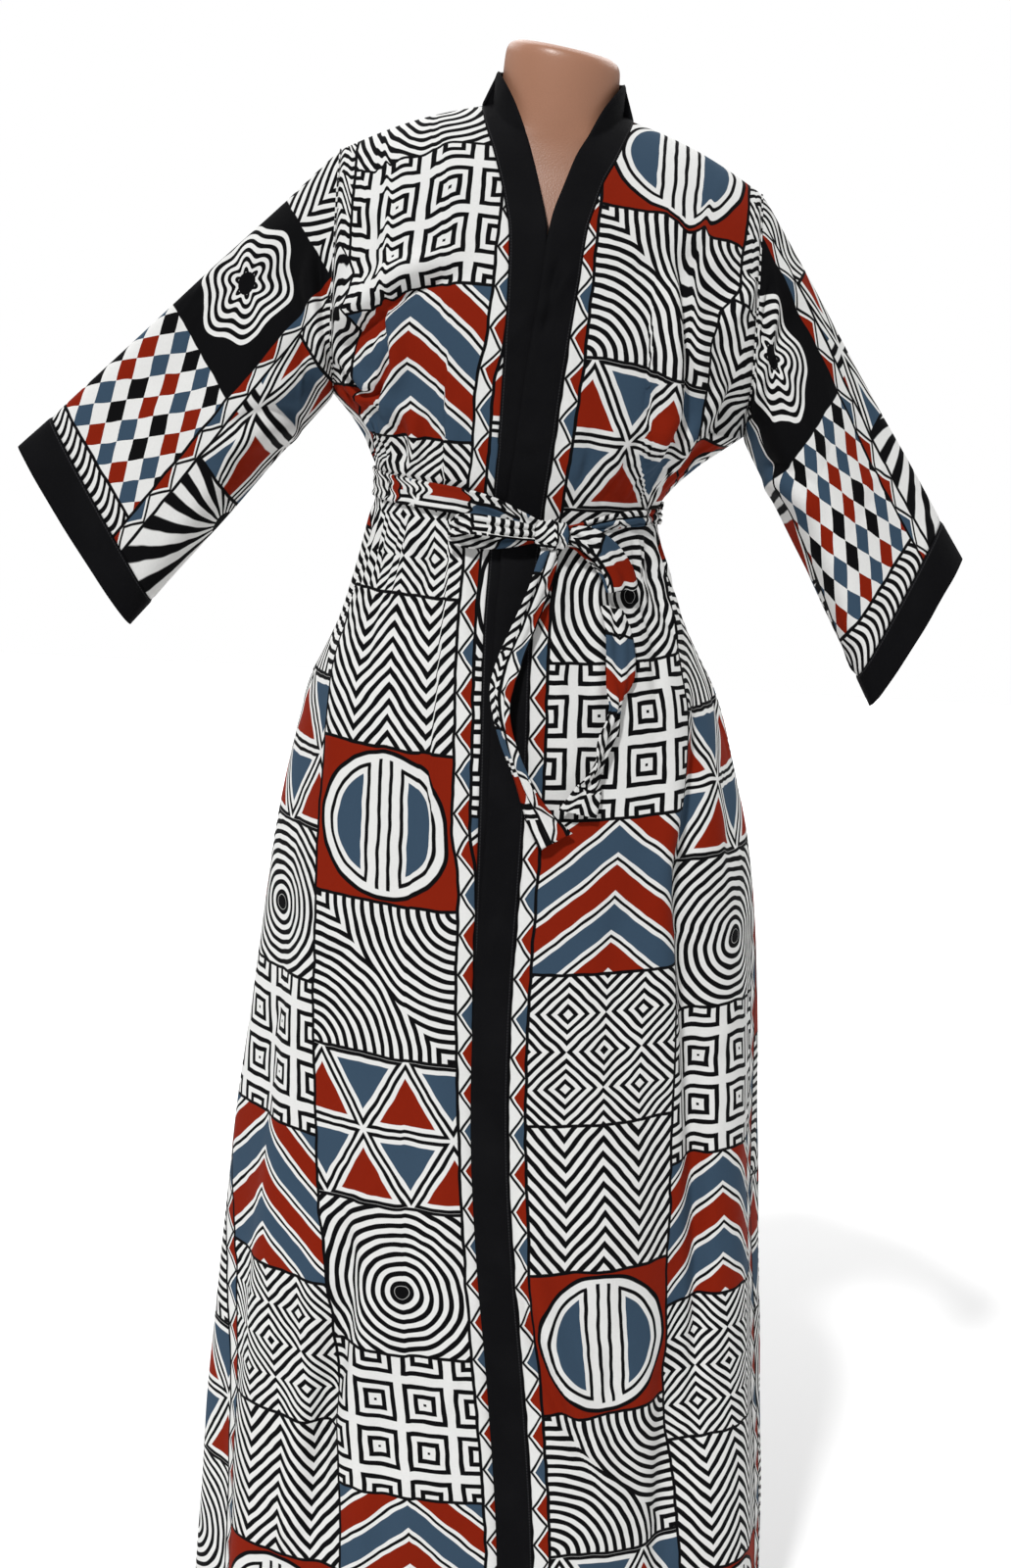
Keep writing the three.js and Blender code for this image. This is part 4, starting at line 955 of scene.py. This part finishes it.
armholes = {}
for name, side in (("right", -1), ("left", 1)):
    front, band = frontGrid(name, side)
    normals = outwardNormals(np.concatenate([front, band[:, 1:]], axis=1))[:, :fine["front"] + 1]
    key = "front_" + name
    frontPoints = front + normals * panelLift(front, key, 21 + side, 34, 0.6)[..., None]
    seamX, height = front[:, -1:, 0], front[..., 2]
    grainX = np.where(height[:, :1] < panel["grainTop"], seamX,
                      seamX[np.abs(height[:, 0] - panel["grainTop"]).argmin()])
    uv = panelUv(frontPoints, grainX, side)
    uv[..., 0] -= max(side, 0) * printed["border"] * 1000
    tuck = tucks[name]
    (top, topFade), (foot, footFade) = tuck["top"], tuck["foot"]
    taken = smooth((top - height) / topFade) * smooth((height - foot) / footFade)
    past = front[..., 0] - np.interp(height, tuck["z"], tuck["x"])
    uv[..., 0] += tucks["take"] * taken * smooth(past / 1.5 + 0.5)
    makeCloth(key, "panel", frontPoints, uv, printCloth, hem=runs(front, 0))

    neck = neckRows(side)
    joined = np.concatenate([band[-12:-11], band[-1:], neck])
    furthest = np.linspace(1, len(neck) + 1, fine["neck"] + 1)[1:]
    strip = np.concatenate([band, curveThrough(np.arange(len(joined)), joined, furthest)])
    a, b, across = strip[..., 0], strip[..., 2], runs(strip, 1)
    lift = creaseLift(a, b, creases["band_" + name]) + restlessLift(a, b, 31 + side, 10, 0.5)
    lift = (lift * offSash(strip) + panel["bandProud"] - 1.0 * bump(across, panel["bandSeam"])
            - 0.6 * bump(across[:, -1:] - across, panel["bandSeam"]))
    makeCloth("band_" + name, "strip", raised(strip, lift), asPoints(across, runs(strip, 0)), blackCloth)
    armholes[name] = np.concatenate([front[fine["lower"]:, 0],
                                     back[fine["lower"]:, 0 if side > 0 else -1][1:-1][::-1]])
print("panels made")

# Each cuff's end: centre, the line from underarm to top across it, half width along that line, how far
# the line turns back at its top in degrees, half depth.
sleeveEnds = dict(
    right=dict(end=(-428, -22, 1137), line=(-0.612, 0.791), half=100, turn=6, deep=27),
    left=dict(end=(399, -18, 1129), line=(0.485, 0.874), half=90, turn=26, deep=24),
)
# Folds along the sleeves: degrees round from the underarm over the front, half width, height, and the
# share of the length at their middle and over which they fade.
sleeveFolds = [
    (30, 22, -6, 0.25, 0.25), (62, 20, 6, 0.3, 0.3), (120, 24, -5, 0.55, 0.35), (238, 24, -6, 0.4, 0.35),
    (300, 22, 6, 0.3, 0.3), (333, 20, -5, 0.3, 0.25),
]
# Creases over a sleeve in the plane of degrees round and length from the armhole in millimetres.
sleeveCreases = dict(
    right=[
        (6, 8, 40, 34, 84, 60, 120, 96, 10, -8.0), (10, 4, 56, 22, 104, 34, 11, 7.5, "drape"),
        (4, 52, 30, 100, 60, 190, 9, 5.6, "drape"), (22, 30, 50, 70, 66, 130, 8, -5.0),
        (60, 160, 96, 190, 134, 250, 10, -2.2), (110, 30, 132, 80, 128, 160, 12, 3.0),
        (300, 30, 330, 60, 356, 120, 10, -4.2), (240, 60, 280, 110, 324, 170, 12, 3.2),
    ],
    left=[
        (6, 8, 44, 30, 88, 50, 126, 90, 10, -8.0), (12, 4, 58, 18, 108, 30, 11, 7.5, "drape"),
        (4, 50, 28, 96, 56, 180, 9, 5.8, "drape"), (24, 28, 52, 66, 70, 120, 8, -5.2),
        (66, 150, 96, 184, 124, 240, 10, -2.4), (112, 26, 136, 76, 130, 150, 12, 3.0),
        (296, 34, 326, 66, 354, 130, 10, -4.2), (236, 70, 280, 116, 322, 180, 12, 3.2),
    ],
)
# The armhole's top, how the folds and creases fade there and at the cuff, and how wide a sleeve's cloth
# is for its rumples.
sleeve = dict(top=(201, 1415), foldIn=0.12, foldOut=(0.8, 0.09), edgeIn=16, edgeOut=12, unrolled=520)


def closedUp(points):
    # the first column again after the last
    return np.concatenate([points, points[:, :1]], axis=1)


for name, side in (("right", -1), ("left", 1)):
    shape, loop = sleeveEnds[name], armholes[name]
    loop[0, 1] = 0
    share = np.arange(len(loop)) / len(loop)
    degrees = share[None, :] * 360
    slope, rise = shape["line"]
    turn = math.radians(shape["turn"])
    acrossEnd = np.array([slope * math.cos(turn), math.sin(turn), rise * math.cos(turn)])
    axis = np.array([rise * side, 0, -slope * side])
    deep = np.cross(axis, acrossEnd)
    deep = deep / np.linalg.norm(deep) * -np.sign(deep[1])
    end = np.array(shape["end"], float)
    angle = np.radians(degrees).T
    ring = (end - np.cos(angle) * shape["half"] * acrossEnd
            + signedPower(np.sin(angle), 0.8) * shape["deep"] * deep)
    topX, topZ = sleeve["top"]
    length = np.linalg.norm(end - np.array([side * topX, 0, topZ]))
    seamAt = (length - robe["cuffWidth"]) / length
    u = np.linspace(0, seamAt, fine["sleeve"] + 1)[:, None]
    fold = sum(high * bump(degrees - at, wide) * bump(u - middle, reach)
               for at, wide, high, middle, reach in sleeveFolds)
    outFrom, outOver = sleeve["foldOut"]
    fold = fold * smooth(u / sleeve["foldIn"]) * (1 - smooth((u - outFrom) / outOver))
    tube = mix(loop[None], ring[None], u[..., None])
    tube = tube + (fold * np.sign(180 - degrees))[..., None] * deep
    down, toSeam = u * length, (seamAt - u) * length
    over = np.broadcast_to(down, fold.shape)
    lift = creaseLift(np.broadcast_to(degrees, fold.shape), over, sleeveCreases[name])
    unrolled = np.broadcast_to(share * sleeve["unrolled"], fold.shape)
    lift = lift + restlessLift(unrolled, over, 41 + side, 26, 1.6)
    lift = lift * smooth(down / sleeve["edgeIn"]) * smooth(toSeam / sleeve["edgeOut"])
    lift = lift + seamDip(down) + seamDip(toSeam) * 0.6
    closedTube = closedUp(tube)
    steps = np.diff(closedTube, axis=1)
    level = np.sqrt(np.maximum((steps**2).sum(axis=-1) - (steps @ axis) ** 2, 0))
    roundTube = np.concatenate([np.zeros((len(level), 1)), np.cumsum(level, axis=1)], axis=1)
    quarter = len(loop) // 4
    uv = asPoints(side * (roundTube[:, quarter:quarter + 1] - roundTube), (closedTube - end) @ axis)
    makeCloth("sleeve_" + name, "tube", raised(tube, lift, True), uv, sleeveCloth, closed=True, whole=True)

    u = np.linspace(seamAt, 1, fine["cuff"] + 1)[:, None]
    cuff = mix(loop[None], ring[None], u[..., None])
    down = (u - seamAt) * length
    slack = 0.5 * np.sin(np.radians(degrees) * 5 + side) + 0.4 * np.sin(np.radians(degrees) * 9)
    lift = panel["bandProud"] + slack * smooth(down / robe["cuffWidth"]) - 1.0 * bump(down, panel["bandSeam"])
    points = raised(cuff, lift, True)
    makeCloth("cuff_" + name, "band", points, asPoints(down, runs(closedUp(points), 1)), blackCloth,
              closed=True, whole=True)
print("sleeves made")

# The sash: its belt and strips, how finely they are drawn, where each lies on the print, and the waist's
# half width and depth.
sash = dict(
    width=24, off=3.4, stripWidth=28, around=300, across=12, rows=150, beltV=97,
    shiftU=(0, 61, 130, 183), shiftV=(153, 0, 86, 205), waist=(137, 105),
)
knot = dict(x=31.5, z=1196, wide=34, high=30, deep=18, out=12.6, blunt=2.6)
# The loops and free ends: place on the robe's front, how far off it the strip's middle lies, the slope
# of the strip's width in degrees from level, how far that width tips towards the cloth.
sashStrips = dict(
    loop_right=[
        (15, 1196, 12, 92, 0), (-8, 1199, 17, 88, 8), (-36, 1201, 17, 84, 10), (-55, 1199, 14, 76, 4),
        (-62, 1196, 10.2, 70, 0), (-57, 1191, 6.8, 74, 0), (-34, 1189, 5.6, 84, 0), (-6, 1192, 5.6, 90, 0),
        (15, 1195, 5.8, 92, 0),
    ],
    loop_left=[
        (48.5, 1197, 12, 78, 0), (64, 1195, 19, 62, -8), (82, 1183, 21, 38, -12), (96, 1164, 18, 18, -8),
        (101, 1147, 13, 8, 0), (99, 1147, 8, 8, 0), (92, 1163, 7, 20, 0), (78, 1179, 7, 40, 0),
        (62, 1190, 6.5, 62, 0), (48.5, 1194, 6, 78, 0),
    ],
    tail_right=[
        (31, 1181, 11, 5, 20), (24, 1151, 13, 12, 30), (10, 1111, 12, 18, 10), (-4, 1073, 9, 14, -10),
        (-9, 1040, 12, 0, -45), (0, 1003, 13, -14, -50), (15, 969, 12, -12, -35), (32, 939, 9, 8, -10),
        (50, 914, 8, 28, 5),
    ],
    tail_left=[
        (92, 1129, 9, -16, 5), (100, 1103, 10, -10, 10), (103, 1070, 9, 0, 5), (101, 1043, 12, 6, 50),
        (94, 1015, 12, 12, 40), (86, 987, 13, 14, 60), (78, 965, 10, 4, 20), (69, 940, 9, -12, 5),
    ],
)
# How much each strip is drawn together at places along it: share of its length, share of its width.
stripPinch = dict(
    loop_right=[(0, 0.5), (0.18, 0.62), (0.4, 0.7), (0.5, 0.76), (0.7, 0.8), (0.82, 0.76), (1, 0.55)],
    loop_left=[(0, 0.6), (0.2, 0.95), (0.5, 1.0), (0.8, 0.95), (1, 0.6)],
    tail_right=[(0, 0.62), (0.15, 0.95), (0.5, 0.9), (0.62, 0.75), (0.8, 0.8), (1, 1.2)],
    tail_left=[(0, 0.8), (0.2, 1.0), (0.36, 0.9), (0.46, 0.6), (0.6, 0.9), (0.74, 0.6), (0.9, 1.1), (1, 1.3)],
)


def sashPoints():
    # A belt of even width set out from the robe, with soft lengthwise pleats.
    angle = turns(sash["around"])
    x = skirtPoint(angle, robe["waistZ"])[..., 0]
    k = np.linspace(-0.5, 0.5, sash["across"] + 1)[:, None]
    # it is drawn together at the knot, and most on the wearer's left of it
    drawn = 1 - (np.cos(angle) > 0) * (0.34 * smooth((x - 8) / 40) + 0.16 * bump(x - sashPath["knotX"], 50))
    p = skirtPoint(angle, sashLine(x, np.cos(angle) > 0) + k * sash["width"] * drawn)
    side, deep = sash["waist"]
    away = asPoints(p[..., 0] / side**2, p[..., 1] / deep**2, 0)
    away = away / np.linalg.norm(away, axis=-1, keepdims=True)
    pleat = ((0.6 + 2.2 * (1 - drawn)) * np.cos(k * 13 + 1.6 * np.sin(angle * 2))
             + (0.35 + 1.2 * (1 - drawn)) * np.sin(angle * 31 + k * 5))
    return p + away * (sash["off"] + pleat - 0.5 * bump(np.abs(k) - 0.5, 0.07))[..., None]


def stripPoints(name):
    # A strip carried along its table of places, laid over the robe's front, with folds along it that
    # deepen where it is drawn together.
    table, pinch = np.array(sashStrips[name], float), np.array(stripPinch[name])
    s = np.linspace(0, len(table) - 1, sash["rows"] + 1)[:, None]
    x, z, out, lie, tip = curveThrough(np.arange(len(table)), table, s[:, 0]).T[..., None]
    drawn = curveThrough(pinch[:, 0], pinch[:, 1], s / (len(table) - 1))
    k = np.linspace(-0.5, 0.5, sash["across"] + 1)[None, :]
    across = k * sash["stripWidth"] * drawn
    lie, tip = np.radians(lie), np.radians(tip)
    place, height = x + np.cos(lie) * np.cos(tip) * across, z + np.sin(lie) * np.cos(tip) * across
    points = asPoints(place, frontY(place, height, gather["high"]) - out + np.sin(tip) * across, height)
    fold = ((1.3 - drawn) * 3.0 * np.cos(k * 15 + 2.2 * np.sin(s * 1.1)) + 0.8 * np.cos(k * 9 + s * 1.4)
            + 0.9 * bump(np.abs(k) - 0.5, 0.1))
    return points + normalsOf(points) * fold[..., None]


def knotPoints():
    # A rounded lump, furrowed along the turns of the cloth that is wound round it.
    middle = (knot["x"], frontY(knot["x"], knot["z"], gather["high"]) - knot["out"], knot["z"])
    along = np.sin(np.linspace(-1, 1, 41)[1:-1, None] * np.pi / 2) * 0.985
    angle = turns(72)
    furrow = (1 - 0.17 * np.abs(np.sin(angle * 2.5 + along * 2.6)) ** 6
              - 0.16 * np.abs(np.sin(along * 4.2 + 0.7 * np.cos(angle))) ** 4)
    size = (1 - np.abs(along) ** knot["blunt"]) ** (1 / knot["blunt"]) * furrow / 2
    return leaned(middle + asPoints(along * knot["wide"] / 2, np.cos(angle) * size * knot["deep"],
                                    np.sin(angle) * size * knot["high"]))


def addUvTo(piece, along, up):
    # A UV map on a filled shape, as lengths of cloth from its middle.
    mesh = piece.data
    co, ids = np.empty(len(mesh.vertices) * 3, np.float32), np.empty(len(mesh.loops), np.int32)
    mesh.vertices.foreach_get("co", co)
    mesh.loops.foreach_get("vertex_index", ids)
    x, y, z = co.reshape(-1, 3)[ids].T
    uv = flat(asPoints(x * along + y * 0.6, z * up))
    mesh.uv_layers.new(name="cloth").uv.foreach_set("vector", uv)


points = sashPoints()
closedSash = closedUp(points)
uv = asPoints(runs(closedSash, 1), runs(closedSash, 0) + sash["beltV"])
makeCloth("sash_waist", "belt", points, uv, beltCloth, closed=True)
knotPiece = makeSolid("sash_knot", "lump", knotPoints(), sashPrint)
addUvTo(knotPiece, 1.4, 1.3)
for order, name in enumerate(sashStrips):
    points = stripPoints(name)
    uv = asPoints(runs(points, 1) + sash["shiftU"][order], runs(points, 0) + sash["shiftV"][order])
    makeCloth("sash_" + name, "strip", points, uv, stripCloth)
print("sash made")

# The dress form's rings: height, half width, depth to the front and the back, roundness.
formRings = np.array([
    (885, 148, 92, 106, 2.2), (897, 158, 98, 114, 2.2), (935, 167, 104, 122, 2.2),
    (990, 168, 106, 124, 2.2), (1045, 157, 103, 113, 2.2), (1105, 139, 98, 96, 2.2),
    (1165, 124, 95, 82, 2.2), (1215, 119, 93, 78, 2.2), (1255, 122, 98, 81, 2.2), (1299, 132, 112, 87, 2.2),
    (1340, 140, 121, 91, 2.2), (1385, 149, 115, 95, 2.2), (1428, 160, 102, 95, 2.2),
    (1471, 169, 85, 86, 2.2), (1500, 171, 72, 76, 2.2), (1525, 163, 61, 66, 2.1), (1541, 136, 56, 60, 2.0),
    (1554, 102, 53, 57, 2.0), (1565, 74, 52, 56, 2.0), (1575, 61, 52, 55, 2.0), (1590, 56, 52, 53, 2.0),
    (1627, 55, 51, 52, 2.0), (1637, 52, 48, 49, 2.0), (1641, 45, 42, 43, 2.0),
])
# Levels from its bottom over the shoulders, neck and rim to the top, and the rings up to each.
form = dict(around=144, levels=(885, 1541, 1600, 1627, 1641), rings=(84, 26, 8, 14), middleFrom=1385,
            slant=0.11, slantFrom=1585)
# Profiles of radius and height of the stand's pole and base.
stand = dict(
    around=128,
    pole=[(0.4, 24.4), (13.2, 24.4), (14, 25.2), (14, 60), (14, 400), (14, 884), (13.4, 884.6),
          (0.4, 884.6)],
    base=[
        (0.4, 0), (157, 0), (159.2, 0.8), (160, 2.2), (160, 6.2), (159.2, 7.7), (157, 8.4), (120, 12.1),
        (62, 19.3), (58, 20.1), (26, 22.6), (21, 23.6), (19.4, 24), (0.4, 24),
    ],
)


def formPoints():
    # Level superellipse rings, the neck's top cut on a slant, and rings that close the flat ends.
    levels = form["levels"]
    z = np.concatenate([levels[:1], *[np.linspace(low, high, count)[1:] for low, high, count in
                                      zip(levels, levels[1:], form["rings"])]])[:, None]
    x, y = superellipse(turns(form["around"]), *lookUpAll(formRings, z))
    middle = robe["shoulderMiddle"] * smooth((z - form["middleFrom"]) / 100)
    rings = asPoints(x + middle, y, z - form["slant"] * x * smooth((z - form["slantFrom"]) / 60))

    def closing(ring, shares, rise):
        hub = ring.mean(axis=0)
        return np.stack([hub + (ring - hub) * share + (0, 0, rise * (1 - share)) for share in shares])

    return leaned(np.concatenate([closing(rings[0], (0.2, 0.6, 0.93), 0.0), rings,
                                  closing(rings[-1], (0.95, 0.85, 0.6, 0.3, 0.08), 0.6)]))


def turnedPoints(profile):
    # A profile of radius and height carried round the upright axis.
    angle = turns(stand["around"])
    radius, z = np.array(profile, float).T[..., None]
    return asPoints(radius * np.sin(angle), radius * np.cos(angle), z)


makeSolid("form_torso", "shell", formPoints(), formShell)
makeSolid("form_pole", "tube", turnedPoints(stand["pole"]), standPaint)
makeSolid("form_base", "disc", turnedPoints(stand["base"]), standPaint)
print("dress form made")
studio = dict(
    floor=(24, -12, 6.5), floorTone=0.80, sky=0.19, backdrop=1.0, sun=(-0.85, -2.3, 2.75), sunPower=2.36,
    sunSoft=5, behind=(0, 5.4, 4.2), behindSize=(12, 9), behindPower=760,
)


def addFloor():
    tone = (*[studio["floorTone"]] * 3, 1)
    material, *_ = newMaterial("paleFloor", {"Base Color": tone, "Roughness": 0.9})
    wide, front, back = studio["floor"]
    mesh = bpy.data.meshes.new("floor")
    mesh.from_pydata([(-wide / 2, front, 0), (wide / 2, front, 0), (wide / 2, back, 0), (-wide / 2, back, 0)],
                     [], [(0, 1, 2, 3)])
    mesh.materials.append(material)
    addObject("floor", mesh)


def addLamp(name, kind, place, target, **values):
    # A lamp whose -Z points from its place to the target.
    light = bpy.data.lights.new(name, kind)
    for key, value in values.items():
        setattr(light, key, value)
    away = np.array(place, float) - np.array(target, float)
    yaw, pitch = math.atan2(away[0], -away[1]), math.atan2(math.hypot(away[0], away[1]), away[2])
    lamp = addObject(name, light)
    lamp.matrix_world = (Matrix.Translation(place) @ Matrix.Rotation(yaw, 4, "Z")
                         @ Matrix.Rotation(pitch, 4, "X"))
    return lamp


def addWorld():
    # Even pale light from all round. The backdrop that shows is a little paler than its light.
    world = bpy.data.worlds.new("studio")
    world.use_nodes = True
    tree = world.node_tree
    background = tree.nodes["Background"]
    path = Wire(tree, makeNode(tree, "LightPath").outputs["Is Camera Ray"])
    strength = path * (studio["backdrop"] - studio["sky"]) + studio["sky"]
    tree.links.new(strength.socket, background.inputs["Strength"])
    background.inputs["Color"].default_value = (1, 1, 1, 1)
    bpy.context.scene.world = world


addFloor()
addWorld()
addLamp("key", "SUN", studio["sun"], (0, 0, 0), energy=studio["sunPower"],
        angle=math.radians(studio["sunSoft"]))
wide, deep = studio["behindSize"]
behind = addLamp("backdropLight", "AREA", studio["behind"], (*studio["behind"][:2], 0), shape="RECTANGLE",
                 size=wide, size_y=deep, energy=studio["behindPower"])
behind.visible_camera = False
bpy.context.scene.view_settings.view_transform = "Standard"
bpy.context.scene.view_settings.look = "None"

shot = dict(place=(0, -2.5, 1.435), down=11.4, roll=3.0, lens=58.5, film=36)
camera = bpy.data.cameras.new("camera")
camera.sensor_fit = "VERTICAL"
camera.sensor_height, camera.lens = shot["film"], shot["lens"]
cameraObject = addObject("camera", camera)
cameraObject.matrix_world = (Matrix.Translation(shot["place"])
                             @ Matrix.Rotation(math.radians(90 - shot["down"]), 4, "X")
                             @ Matrix.Rotation(math.radians(shot["roll"]), 4, "Z"))
bpy.context.scene.camera = cameraObject
print("studio made")

bpy.context.view_layer.update()
